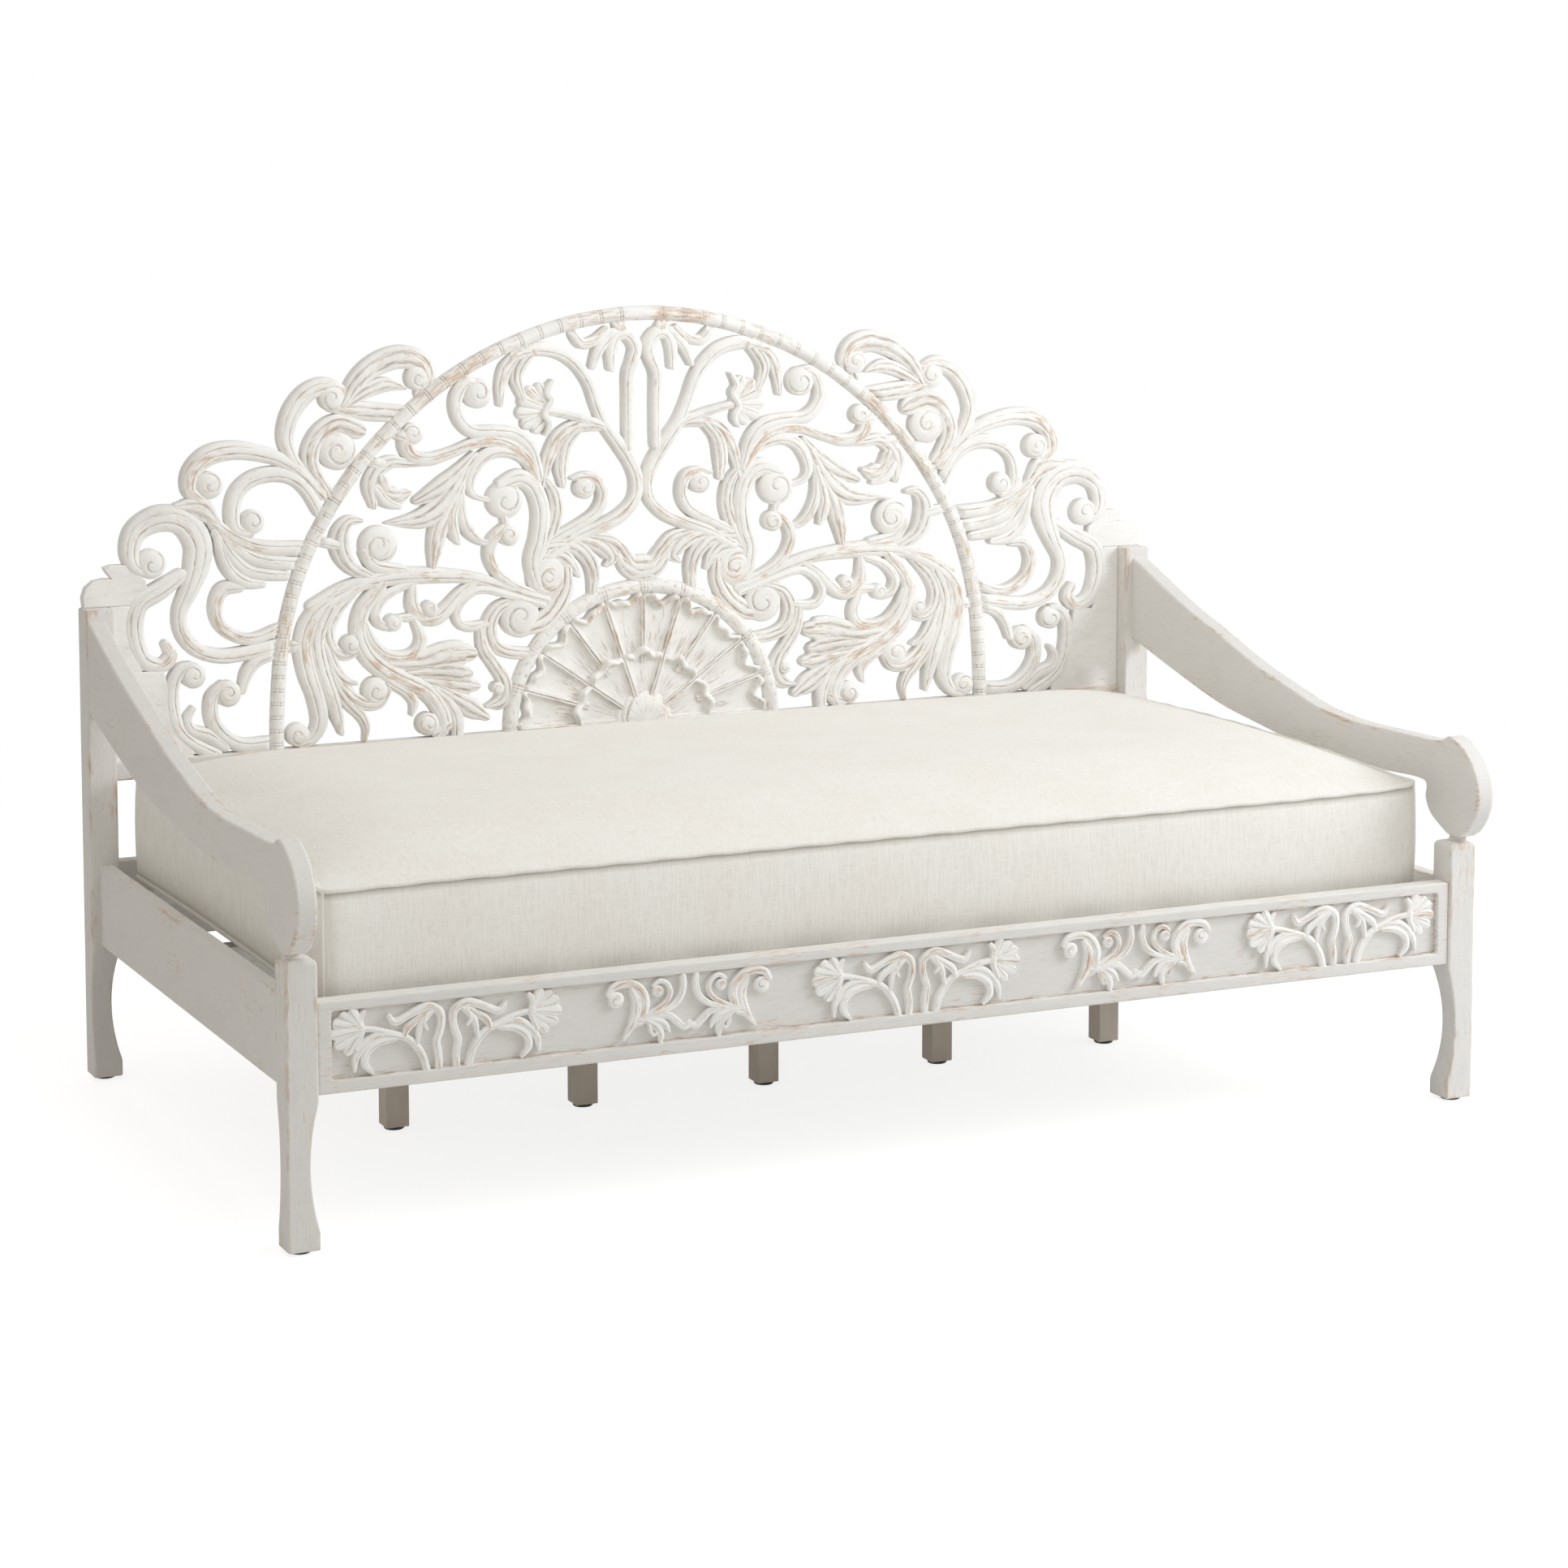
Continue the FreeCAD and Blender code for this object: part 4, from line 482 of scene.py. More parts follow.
def corner_leg(node, top_ease):
    """A leg sized by its solid. On the left its high x side is the inner one, in front its high y side."""
    low, high = node_box(node)
    inner_x = 1 if low[0] < 0 else 0
    inner_y = 3 if low[1] < 0 else 2

    def give(height):
        sides = np.zeros((len(height), 4))
        sides[:, inner_x] = sides[:, inner_y] = scoop(height)
        return sides
    leg = board(low, high, ease=3.5, ends=(2.5, top_ease), give=give, pace=6.0, seed=len(node) + low[0] / 777)
    return make_piece(node + "_carved", leg, board_whitewash, [node])


LEG_TOP_EASE, POST_TOP_EASE = 9.0, 4.0
for leg_name in ("front_leg_left", "front_leg_right"):
    corner_leg(leg_name, LEG_TOP_EASE)
for leg_name in ("back_post_left", "back_post_right"):
    corner_leg(leg_name, POST_TOP_EASE)

# %% [markdown]
# The plain rails are boards too. The rear rail and the bottom rail of the carved back are seen only from behind,
# but the daybed may stand in the middle of a room, so they get the same care. The five legs under the middle
# are plain square sticks, painted taupe before the frame was whitened.

# %% Plain rails and the legs under the middle
for rail_name, rail_seed in (("side_rail_left", 3), ("side_rail_right", 4), ("rear_rail", 5),
                             ("back_bottom_rail", 6)):
    low, high = node_box(rail_name)
    rail = board(low, high, ease=3.0, ends=(0.5, 0.5), seed=rail_seed)
    make_piece(rail_name + "_board", rail, board_whitewash, [rail_name])

support_names = sorted(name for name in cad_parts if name.startswith("centre_leg_"))
for at, leg_name in enumerate(support_names):
    low, high = node_box(leg_name)
    stick = board(low, high, ease=2.0, ends=(1.5, 0.5), seed=at)
    make_piece(leg_name + "_stick", stick, support_paint, [leg_name])

# %% [markdown]
# Every leg stands on a nail-on glide: a small domed puck of black plastic with a shallow ring round its foot.
# It is a turned shape, so a profile of (radius, height) pairs is carried once round the middle.

# %% Turned pieces
def full_circle(columns):
    """Angles of evenly spaced points round a circle, as one row."""
    return (np.arange(columns) * FULL_TURN / columns)[None, :]


def turned(profile, middle, columns=40, rub=0.2, groove=0.0):
    """Carry a profile of (radius, height) rows round an upright line: x = r cos a, y = r sin a."""
    profile = np.asarray(profile, float)
    turn = full_circle(columns)
    radius, height = profile[:, 0, None], profile[:, 1, None]
    rings = np.stack([middle[0] + radius * np.cos(turn), middle[1] + radius * np.sin(turn),
                      height + 0 * turn], axis=-1)
    flow = np.stack([height + 0 * turn, radius * turn, radius + 0 * turn], axis=-1)
    return loft(rings, rub, groove, flow)


glides = []
for glide_name in sorted(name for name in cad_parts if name.startswith("glide_")):
    low, high = node_box(glide_name)
    radius, top = (high[0] - low[0]) / 2, high[2]
    foot = [(radius * 0.4, 0.0), (radius * 0.78, 0.0), (radius * 0.9, 0.5), (radius * 0.97, 1.4),
            (radius, 2.6), (radius * 0.985, 4.2), (radius * 0.93, 4.7), (radius * 0.93, top)]
    glides.append((glide_name, turned(foot, (low + high) / 2)))
for glide_name, puck in glides:
    make_piece(glide_name + "_puck", puck, glide_black, [glide_name])

# %% [markdown]
# ## Arms
# Each arm is one thick board sawn to a long S: high where it meets the back post, dipping along the side and
# swelling into a round knob over the front leg. The sweep is a smooth line through points set on the
# photograph's outline. The board's edge is rounded over: the outline moves in along its own normals by
# e(1 - cos a) while it comes out sideways by e sin a. Two smaller outlines inside each face let the wear at the
# edge fade out.

# %% A smooth line through points
def smooth_line(rows, steps=8):
    """Catmull-Rom line through rows of numbers, the same steps in each span. With a, b, c, d the four rows about
    a span and t from 0 to 1: half of 2b + (c-a)t + (2a-5b+4c-d)t^2 + (3b-a-3c+d)t^3."""
    rows = np.asarray(rows, float)
    padded = np.concatenate([rows[:1], rows, rows[-1:]])
    t = (np.arange(steps) / steps)[None, :, None]
    a, b, c, d = (padded[at:len(padded) - 3 + at, None, :] for at in range(4))
    spans = 0.5 * (2 * b + (c - a) * t + (2 * a - 5 * b + 4 * c - d) * t ** 2 + (3 * b - a - 3 * c + d) * t ** 3)
    return np.concatenate([spans.reshape(-1, rows.shape[1]), rows[-1:]])


def lengths(line):
    """Distance walked along a line up to each of its points, by its first two numbers."""
    return np.concatenate([[0.0], np.cumsum(np.hypot(*np.diff(line[:, :2], axis=0).T))])


def evenly(line, pace):
    """The same line with points a steady distance apart."""
    walked = lengths(line)
    count = max(3, int(round(walked[-1] / pace)) + 1)
    places = np.linspace(0, walked[-1], count)
    return np.stack([np.interp(places, walked, column) for column in line.T], axis=-1)


def unit(vectors):
    """The same directions with length 1."""
    return vectors / np.linalg.norm(vectors, axis=1, keepdims=True)


# %% Outlines of the arm
# Points in thousandths: of the run between leg and post and of the rise for the arm, of the radius for the knob.
SHARE = 0.001
ARM_TOP = [(1000, 1000), (846, 690), (715, 470), (588, 262), (484, 135), (400, 40), (300, 0), (196, 10)]
ARM_UNDER = [(1000, 1000), (842, 620), (705, 330), (595, 195), (490, 85), (385, 15), (285, 0), (190, 45)]
KNOB_TOP = [(560, 870), (60, 1025), (-510, 775), (-850, 410), (-1000, 10), (-950, -430), (-650, -860),
            (-350, -1050)]
KNOB_BACK = [(1000, -60), (915, -440), (690, -750), (100, -1050)]
KNOB_RADIUS, KNOB_HEIGHT, KNOB_CENTRE_BACK = 80.0, 540.0, 28.0
ARM_TOP_HEIGHTS, ARM_UNDER_HEIGHTS = (603, 802), (528, 645)
ARM_EDGE = 4.5

post_front, leg_front = node_box("back_post_left")[0][1], node_box("front_leg_left")[0][1]


def arm_lines(steps=12, knob_steps=70):
    """The arm's upper and lower line in side view, as (y, z) rows that face each other point by point. Along the
    arm the given points face each other; round the knob both lines are divided evenly."""
    run = post_front - leg_front
    sweep = lambda rows, low, high: [(leg_front + run * a * SHARE, low + (high - low) * u * SHARE)
                                     for a, u in rows]
    round_knob = lambda rows: [(leg_front + KNOB_CENTRE_BACK + KNOB_RADIUS * a * SHARE,
                                KNOB_HEIGHT + KNOB_RADIUS * u * SHARE) for a, u in rows]
    lines = []
    for rows in (sweep(ARM_TOP, *ARM_TOP_HEIGHTS) + round_knob(KNOB_TOP),
                 sweep(ARM_UNDER, *ARM_UNDER_HEIGHTS) + round_knob(KNOB_BACK)):
        line = smooth_line(rows, steps)
        turn_in = steps * (len(ARM_TOP) - 1)
        knob = evenly(line[turn_in:], lengths(line[turn_in:])[-1] / knob_steps)
        lines.append(np.concatenate([line[:turn_in], knob]))
    return lines


def inward(outline, amount):
    """Move each point of a closed line in along its normal, found from its two neighbours."""
    ahead, behind = np.roll(outline, -1, axis=0), np.roll(outline, 1, axis=0)
    first, second = outline - behind, ahead - outline
    first = first / np.maximum(np.linalg.norm(first, axis=1, keepdims=True), 1e-6)
    second = second / np.maximum(np.linalg.norm(second, axis=1, keepdims=True), 1e-6)
    both = first + second
    both = both / np.maximum(np.linalg.norm(both, axis=1, keepdims=True), 1e-6)
    mitre = np.clip(np.einsum("ij,ij->i", both, second), 0.5, 1.0)[:, None]
    area = np.sum(outline[:, 0] * ahead[:, 1] - ahead[:, 0] * outline[:, 1])
    return outline + np.sign(area) * amount * np.stack([-both[:, 1], both[:, 0]], axis=-1) / mitre


def rounded_slab(outline, thick, edge, steps=5, deeper=(5.0, 14.0)):
    """A slab with a closed outline and both its edges rounded over; rows run from one face across to the other.
    Returns the rings as (across, outline a, outline b) and how proud each row is."""
    turn = np.linspace(FULL_TURN / 4, 0, steps + 1)
    insets = np.concatenate([[edge + deeper[1], edge + deeper[0]], edge * (1 - np.cos(turn))])
    across = np.concatenate([[0.0, 0.0], edge * (1 - np.sin(turn))])
    proud = np.concatenate([[0.1, 0.3], np.full(steps + 1, 0.9)])
    insets = np.concatenate([insets, insets[::-1]])
    across = np.concatenate([across, thick - across[::-1]])
    proud = np.concatenate([proud, proud[::-1]])
    rings = np.stack([np.concatenate([np.full((len(outline), 1), x), inward(outline, inset)], axis=1)
                      for x, inset in zip(across, insets)])
    return rings, proud


# %% Both arms and their necks
def arm(low_x, thick, seed):
    """One arm as a tube: at each station the section is a rectangle with round corners that stands between the
    upper and the lower line. Its grain runs front to back."""
    upper, lower = arm_lines()
    middle, half = (upper + lower) / 2, (upper - lower) / 2
    tall = np.linalg.norm(half, axis=1)
    wide_section = 10 * thick
    ring, edge = section_ring(wide_section, wide_section, ARM_EDGE)
    corner = np.sign(ring)
    beside = ring - corner * wide_section
    room = np.minimum(1.0, tall / (3 * ARM_EDGE))[:, None]
    x = corner[:, 0] * thick / 2 + beside[:, 0] + 0 * room
    up = corner[:, 1] * tall[:, None] + beside[:, 1] * room
    along = half / tall[:, None]
    points = np.stack([low_x + thick / 2 + x, middle[:, 0, None] + along[:, 0, None] * up,
                       middle[:, 1, None] + along[:, 1, None] * up], axis=-1)
    walk = np.linspace(0, 1, len(upper))[:, None]
    uneven = 0.75 + 0.25 * np.sin(walk * FULL_TURN * 7 + seed) * np.sin(walk * FULL_TURN * 3)
    flow = np.stack([points[..., 1], points[..., 2] + 900 * seed, points[..., 0]], axis=-1)
    return loft(points, edge[None] * uneven, 0.06, flow)


for arm_name, arm_seed in (("arm_left", 1), ("arm_right", 2)):
    low, high = node_box(arm_name)
    swept = arm(low[0], high[0] - low[0], arm_seed)
    make_piece(arm_name + "_sweep", swept, board_whitewash, [arm_name])
    neck = arm_name.replace("arm_", "arm_neck_")
    low, high = node_box(neck)
    waist, radius = node_box("front_leg_left")[1][2], (high[0] - low[0]) / 2
    profile = [(radius * 0.5, low[2]), (radius, low[2]), (radius, waist - 1), (radius * 1.06, waist + 1.5),
               (radius * 0.98, waist + 4), (radius * 0.9, waist + 8), (radius * 0.96, waist + 13),
               (radius, high[2]), (radius * 0.5, high[2])]
    spindle = turned(profile, (low + high) / 2, rub=0.5, groove=0.3)
    make_piece(neck + "_spindle", spindle, board_whitewash, [neck])

# %% [markdown]
# ## Carved stems
# The carving is built as a carver draws it: a centre line for each stem, with a breadth at every point, and
# stems that flow out of one another. Each stem is a section swept along its line. The section is a soft crest
# with a V cut nearer the inside of the curve, which leaves a broad outer band and a narrow inner one; wide stems
# get a second, finer cut. Leaves are cut the other way: two shallow hollows with a vein between them. The side
# walls go straight back through the panel, as a saw leaves them, and the ends are round.
#
# Where a curve is tighter than the stem is wide, the inner side is held to a share of the curve's radius, so
# that the surface doesn't fold over itself.

# %% Where the arched rod runs
CARVING_DATUM = 500
ARCH_LINE = [(698, 30), (697, 100), (693, 170), (687, 230), (675, 290), (657, 350), (634, 405), (606, 455),
             (573, 505), (535, 553), (490, 600), (437, 646), (380, 688), (320, 722), (255, 751), (190, 773),
             (120, 790), (50, 799), (0, 801)]
ROD_DIP, ROD_COVER, ROD_PROUD = 16.0, 0.9, 4.0

rod_middle = evenly(smooth_line(np.array(ARCH_LINE, float) + [0, CARVING_DATUM], 8), 4.0)
rod_ahead = unit(np.gradient(rod_middle, axis=0))


def from_rod(places):
    """Distance of (x, z) places from the rod's middle line, positive inside the arch: the offset from the nearest
    point of the line, measured along the line's normal. The line is that of the right half, so |x| is used."""
    places = np.stack([np.abs(places[..., 0]), places[..., 1]], axis=-1)
    gaps = places[..., None, :] - rod_middle
    nearest = np.argmin(np.einsum("...i,...i->...", gaps, gaps), axis=-1)
    off = np.take_along_axis(gaps, nearest[..., None, None], axis=-2)[..., 0, :]
    return rod_ahead[nearest, 0] * off[..., 1] - rod_ahead[nearest, 1] * off[..., 0]


def beside_rod(distance, front, back):
    """How far forward and how far back a stem may reach at a distance from the rod's middle line. Under the rod it
    stays 0.9 mm or more below the circle sqrt(r^2 - d^2), and beside it the limit runs out over ROD_DIP."""
    radius, middle = (back - front) / 2, (front + back) / 2
    bulge = np.sqrt(np.maximum(radius ** 2 - distance ** 2, 0)) * 0.9 - ROD_COVER
    rest = np.maximum(bulge, radius * 0.2)
    out = np.clip((np.abs(distance) - radius) / ROD_DIP, 0, 1)
    reach = rest + (radius + ROD_PROUD - rest) * out ** 0.7
    return middle - reach, middle + reach


# %% One swept stem
ACROSS = np.array([-1, -0.97, -0.9, -0.78, -0.62, -0.48, -0.38, -0.31, -0.24, -0.14, 0.04, 0.24, 0.35, 0.42, 0.49,
                   0.62, 0.78, 0.9, 0.97, 1])
CUT_INSIDE, CUT_FINE = -0.31, 0.42
# How deep the cuts go: at most so many millimetres, and at most this share of the breadth.
INSIDE_MOST, INSIDE_SHARE = 1.5, 0.055
FINE_MOST, FINE_SHARE, FINE_FROM = 0.8, 0.03, 26
FLUTE_MOST, FLUTE_SHARE, FLUTE_WIDE = 1.3, 0.045, 0.82
DOME_MOST, DOME_SHARE = 8.0, 0.27
LEAF_TIP = 1.35


def notch(u, middle, wide):
    """A V cut: 1 at its middle and 0 beyond its width, straight between."""
    return np.maximum(0.0, 1 - np.abs(u - middle) / wide)


def crest_of(u, breadth, leaf):
    """Height of the carved face over its edges, and how deep it is cut, at u across a given breadth.
    Stem: d (1 - |u|^2.2)^0.6 less two narrow round cuts. Leaf: flutes from half of 1 + cos(2 pi u / 0.82)."""
    dome = np.minimum(DOME_MOST, DOME_SHARE * breadth) * np.maximum(0, 1 - np.abs(u) ** 2.2) ** 0.6
    inside = notch(u, CUT_INSIDE, 0.13)
    inside = inside * inside * (3 - 2 * inside)
    fine = notch(u, CUT_FINE, 0.1) * np.clip((breadth - FINE_FROM) / 8, 0, 1)
    stem = (dome - np.minimum(INSIDE_MOST, INSIDE_SHARE * breadth) * inside
            - np.minimum(FINE_MOST, FINE_SHARE * breadth) * fine)
    flute = 0.5 + 0.5 * np.cos(FULL_TURN * u / FLUTE_WIDE)
    hollow = np.clip(flute * 1.5 - 0.2, 0, 1)
    fluted = np.abs(u) < FLUTE_WIDE
    leafy = 0.9 * dome + np.minimum(FLUTE_MOST, FLUTE_SHARE * breadth) * (hollow - 1) * fluted
    cut = np.where(leaf, 0.75 * (1 - hollow) ** 3 * fluted,
                   np.maximum(0.95 * notch(u, CUT_INSIDE, 0.09), 0.6 * fine))
    return np.where(leaf, leafy, stem), cut


def stem(rows, front, back, lift=0.0, leaf=False, pace=4.2, deep=1.0, seed=0, side=1, middle=0.0, rod_side=0,
         ground=0.1):
    """Sweep the carved section along a line of (x, z, breadth) rows between a front and a back plane.
    Points lie at line + normal * u * half breadth; the end caps go on by h sin a while the breadth falls as
    cos a. The inner half breadth is at most 0.9 of the radius of curvature. With rod_side 1 the stem lies inside
    the arched rod and with -1 outside it; it then stops at the rod's middle line and dips under the rod."""
    rows = np.asarray(rows, float) * [side, 1, 1] + [middle, 0, 0]
    line = evenly(smooth_line(rows), pace)
    if rod_side:
        kept = np.nonzero(rod_side * from_rod(line[:, :2]) > -2.0)[0]
        line = line[kept[0]:kept[-1] + 1]
    ahead = unit(np.gradient(line[:, :2], axis=0))
    heading = np.unwrap(np.arctan2(ahead[:, 1], ahead[:, 0]))
    walked = lengths(line)
    bend = np.gradient(heading, np.maximum(walked, np.arange(len(line)) * 1e-6))
    bend = np.convolve(np.pad(bend, 2, mode="edge"), np.ones(5) / 5, mode="valid")
    turn = np.linspace(FULL_TURN / 4, 0, 6)[:-1]
    first, last = line[0, 2] / 2, line[-1, 2] / 2
    tip = LEAF_TIP if leaf else 1.0
    spots = np.concatenate([line[0, :2] - ahead[0] * (first * np.sin(turn))[:, None], line[:, :2],
                            line[-1, :2] + ahead[-1] * (tip * last * np.sin(turn[::-1]))[:, None]])
    half = np.concatenate([first * np.cos(turn), line[:, 2] / 2, last * np.cos(turn[::-1])])
    half = np.maximum(half, 0.12)
    nears = lambda values: np.concatenate([np.repeat(values[:1], 5, axis=0), values,
                                           np.repeat(values[-1:], 5, axis=0)])
    ahead, bend = nears(ahead), nears(bend)
    walked = np.concatenate([walked[0] - first * np.sin(turn), walked, walked[-1] + last * np.sin(turn[::-1])])
    normal = np.stack([-ahead[:, 1], ahead[:, 0]], axis=-1)
    inner = 1.0 if np.sum(bend) > 0 else -1.0
    limit = 0.9 / np.maximum(np.abs(bend), 1e-4)
    wide_plus = np.where(bend > 0, np.minimum(half, limit), half)
    wide_minus = np.where(bend < 0, np.minimum(half, limit), half)

    u, count = ACROSS[None, :], len(ACROSS)
    breadth = 2 * half[:, None]
    rise, cut = crest_of(u, breadth, leaf)
    top = np.minimum(DOME_MOST, DOME_SHARE * breadth)
    low_ground = np.clip((34 - breadth) * ground, 0, 4.0)
    sway = 0.5 * np.sin(walked / 37 + seed)[:, None]
    face = front + deep * (lift + low_ground + top - rise + sway + 0.8)
    sideways = -u * inner
    sideways = np.where(sideways > 0, sideways * wide_plus[:, None], sideways * wide_minus[:, None])
    edge_first, edge_last = sideways[:, :1], sideways[:, -1:]
    tuck = np.minimum(1.2, half * 0.5)[:, None]
    inwards = np.sign(edge_last)
    ring_side = np.concatenate([sideways, edge_last, edge_last, edge_last - tuck * inwards, 0 * edge_last,
                                edge_first + tuck * inwards, edge_first, edge_first], axis=1)
    places = spots[:, None, :] + normal[:, None, :] * ring_side[..., None]
    rear = np.full(ring_side.shape, float(back))
    if rod_side:
        under, over = beside_rod(from_rod(places), front, back)
        face = np.maximum(face, under[:, :count])
        rear = np.minimum(rear, over)
    rim_first, rim_last = face[:, :1], face[:, -1:]
    drop = lambda rim, at, share: rim + (rear[:, at:at + 1] - rim) * share
    ring_deep = np.concatenate([face, drop(rim_last, count, 0.3), drop(rim_last, count + 1, 0.94),
                                rear[:, count + 2:count + 5], drop(rim_first, count + 5, 0.94),
                                drop(rim_first, count + 6, 0.3)], axis=1)
    rings = np.stack([places[..., 0], ring_deep, places[..., 1]], axis=-1)
    extra = np.ones((len(spots), 1))
    proud = 0.8 * np.clip(rise / np.maximum(top, 0.5), 0, 1) ** 3 * np.clip(1.1 - low_ground / 6, 0.3, 1)
    rub = np.concatenate([proud] + [extra * worth for worth in (0.05, 0.1, 0.4, 0.15, 0.4, 0.1, 0.05)], axis=1)
    groove = np.concatenate([cut] + [extra * worth for worth in (0.06, 0.1, 0, 0, 0, 0.1, 0.06)], axis=1)
    groove[:, [0, 1, count - 2, count - 1]] = 0.1
    flow = np.stack([walked[:, None] + 0 * ring_side + 611 * seed, ring_side, ring_deep + 97 * seed], axis=-1)
    return loft(rings, rub, groove, flow)


def is_leaf(rows):
    """A short line that swells in the middle and narrows well at one end or both is cut as a leaf."""
    rows = np.asarray(rows, float)
    widest = rows[:, 2].max()
    return bool(widest >= 26 and widest >= 1.55 * min(rows[0, 2], rows[-1, 2]) and
                lengths(rows)[-1] < 6.5 * widest)


# %% [markdown]
# Many scrolls end in a round bud like a snail's shell. A bud is a dome with a spiral cut: on a grid of radius r
# and angle a the height falls as a quarter ellipse, and the cut lies where the turns counted by a and by r agree.

# %% A spiral bud and a flat plate
def bud(x, z, radius, front, back, side=1, turns=1.6, seed=0, deep=1.0, columns=44):
    """A domed bud with a spiral cut. Height is d sqrt(1 - r^2); the cut is a V where a / full turn + turns r
    is a whole number, and it fades at the very middle and at the rim."""
    r = np.concatenate([[0.04], np.linspace(0.1, 0.86, 14), [0.93, 0.98, 1.0]])[:, None]
    a = full_circle(columns)
    phase = (a / FULL_TURN * side + turns * r + 0.13 * seed) % 1.0
    line = np.clip(1 - np.minimum(phase, 1 - phase) / 0.12, 0, 1)
    line = line * np.clip(r * 5, 0, 1) * np.clip((1 - r) * 9, 0, 1)
    cut = line * line * (3 - 2 * line)
    high = deep * min(11.0, 0.42 * radius)
    fall = high * (1 - np.sqrt(np.maximum(0, 1 - r ** 2 * 0.96)))
    face = front + fall + deep * min(2.8, 0.11 * radius) * cut
    rows = np.concatenate([face + 0 * a, np.full((1, columns), face[-1].mean() * 0.6 + back * 0.4),
                           np.full((1, columns), back - 0.8), np.full((1, columns), back)])
    reach = np.concatenate([r, [[1.0], [1.0], [0.95]]]) * radius
    rings = np.stack([x * side + reach * np.cos(a), rows, z + reach * np.sin(a)], axis=-1)
    worn = np.concatenate([0.6 * (1 - cut) * np.clip(1.15 - r ** 2, 0, 1), np.full((3, columns), 0.15)])
    deep_in = np.concatenate([0.85 * line ** 2 + 0.1 * (r > 0.97), np.full((3, columns), 0.1)])
    flow = np.stack([reach * a + 533 * seed, reach + 0 * a, rows], axis=-1)
    return loft(rings, worn, deep_in, flow)


def plate(rows, front, back, side=1, seed=0, edge=2.5):
    """A flat piece of the panel inside a closed line of (x, z) points, with its edges rounded over."""
    outline = np.asarray(rows, float) * [side, 1]
    rings, proud = rounded_slab(outline, back - front, edge, steps=3, deeper=(0.6, 1.6))
    rings = rings[..., [1, 0, 2]] + [0, front, 0]
    flow = np.stack([rings[..., 0] + 700 * seed, rings[..., 2], rings[..., 1]], axis=-1)
    return loft(rings, proud[:, None] * 0.4 + 0 * rings[..., 0], 0.05, flow)


# %% [markdown]
# ## The carved back: points of its stems
# These points were placed on the photograph: x from the middle of the back, z from a datum 500 mm above
# the floor, and the breadth there, all in millimetres on the right half. The left half is its mirror image.

# %% Lines of the wings and the fretwork
WING_STEMS = [
    [(925, 376, 14), (948, 387, 24), (957, 414, 34), (945, 450, 40), (905, 470, 46), (862, 462, 48),
     (836, 425, 50), (838, 385, 46), (852, 345, 34), (870, 305, 26), (866, 268, 26), (842, 238, 26),
     (805, 224, 26), (765, 224, 26), (695, 235, 26)],
    [(868, 368, 26), (905, 345, 34), (940, 325, 34), (952, 295, 36), (950, 260, 34), (935, 225, 30),
     (905, 213, 26), (887, 230, 24), (896, 250, 16)],
    [(872, 488, 16), (832, 484, 44), (806, 462, 20)],
    [(832, 500, 20), (850, 517, 26), (845, 548, 32), (815, 575, 36), (770, 583, 34), (720, 575, 30),
     (680, 560, 26), (645, 535, 24), (612, 500, 24)],
    [(742, 436, 14), (768, 446, 24), (773, 477, 28), (763, 510, 28), (735, 532, 28), (695, 538, 28),
     (660, 528, 26), (636, 505, 24), (615, 468, 22)],
    [(812, 462, 20), (770, 430, 24), (720, 410, 26), (645, 405, 26)],
    [(808, 455, 20), (770, 415, 22), (725, 388, 26), (652, 378, 24)],
    [(803, 440, 20), (775, 395, 24), (740, 367, 24), (678, 358, 18)],
    [(800, 430, 18), (785, 380, 24), (755, 352, 24), (722, 346, 14)],
    [(764, 343, 20), (793, 340, 26), (806, 310, 24), (798, 278, 22), (770, 256, 22), (735, 250, 20),
     (685, 268, 20)],
    [(852, 210, 14), (870, 204, 22), (884, 180, 24), (886, 140, 26), (876, 100, 26), (850, 72, 24),
     (810, 50, 24)],
    [(850, 134, 10), (860, 116, 16), (852, 96, 22), (822, 84, 24), (795, 64, 20)],
    [(796, 172, 16), (815, 150, 24), (814, 110, 26), (790, 78, 26), (755, 62, 26), (695, 66, 22)],
    [(760, 160, 14), (751, 190, 22), (730, 212, 22), (690, 224, 20)],
    [(572, 682, 18), (600, 690, 30), (635, 678, 34), (663, 645, 34), (675, 605, 30), (668, 575, 26),
     (650, 545, 22), (610, 505, 20)],
    [(545, 611, 36), (580, 622, 36), (613, 605, 34), (630, 570, 34), (622, 535, 28), (592, 490, 22)],
    [(568, 660, 20), (545, 695, 32), (510, 722, 40), (465, 736, 42), (428, 727, 40), (413, 700, 34),
     (425, 672, 22)],
    [(565, 654, 14), (525, 678, 26), (488, 688, 26), (455, 680, 6)],
    [(590, 652, 20), (530, 642, 34), (462, 636, 30)],
]
WING_PLATES = [
    [(995, 322), (950, 322), (956, 260), (940, 205), (900, 205), (890, 150), (884, 100), (850, 65),
     (850, 40), (995, 40)],
    [(1040, 322), (1042, 340), (1036, 357), (1022, 368), (1004, 371), (990, 370), (1000, 382),
     (1004, 390), (990, 394), (962, 393), (930, 365), (925, 330), (950, 322)],
]
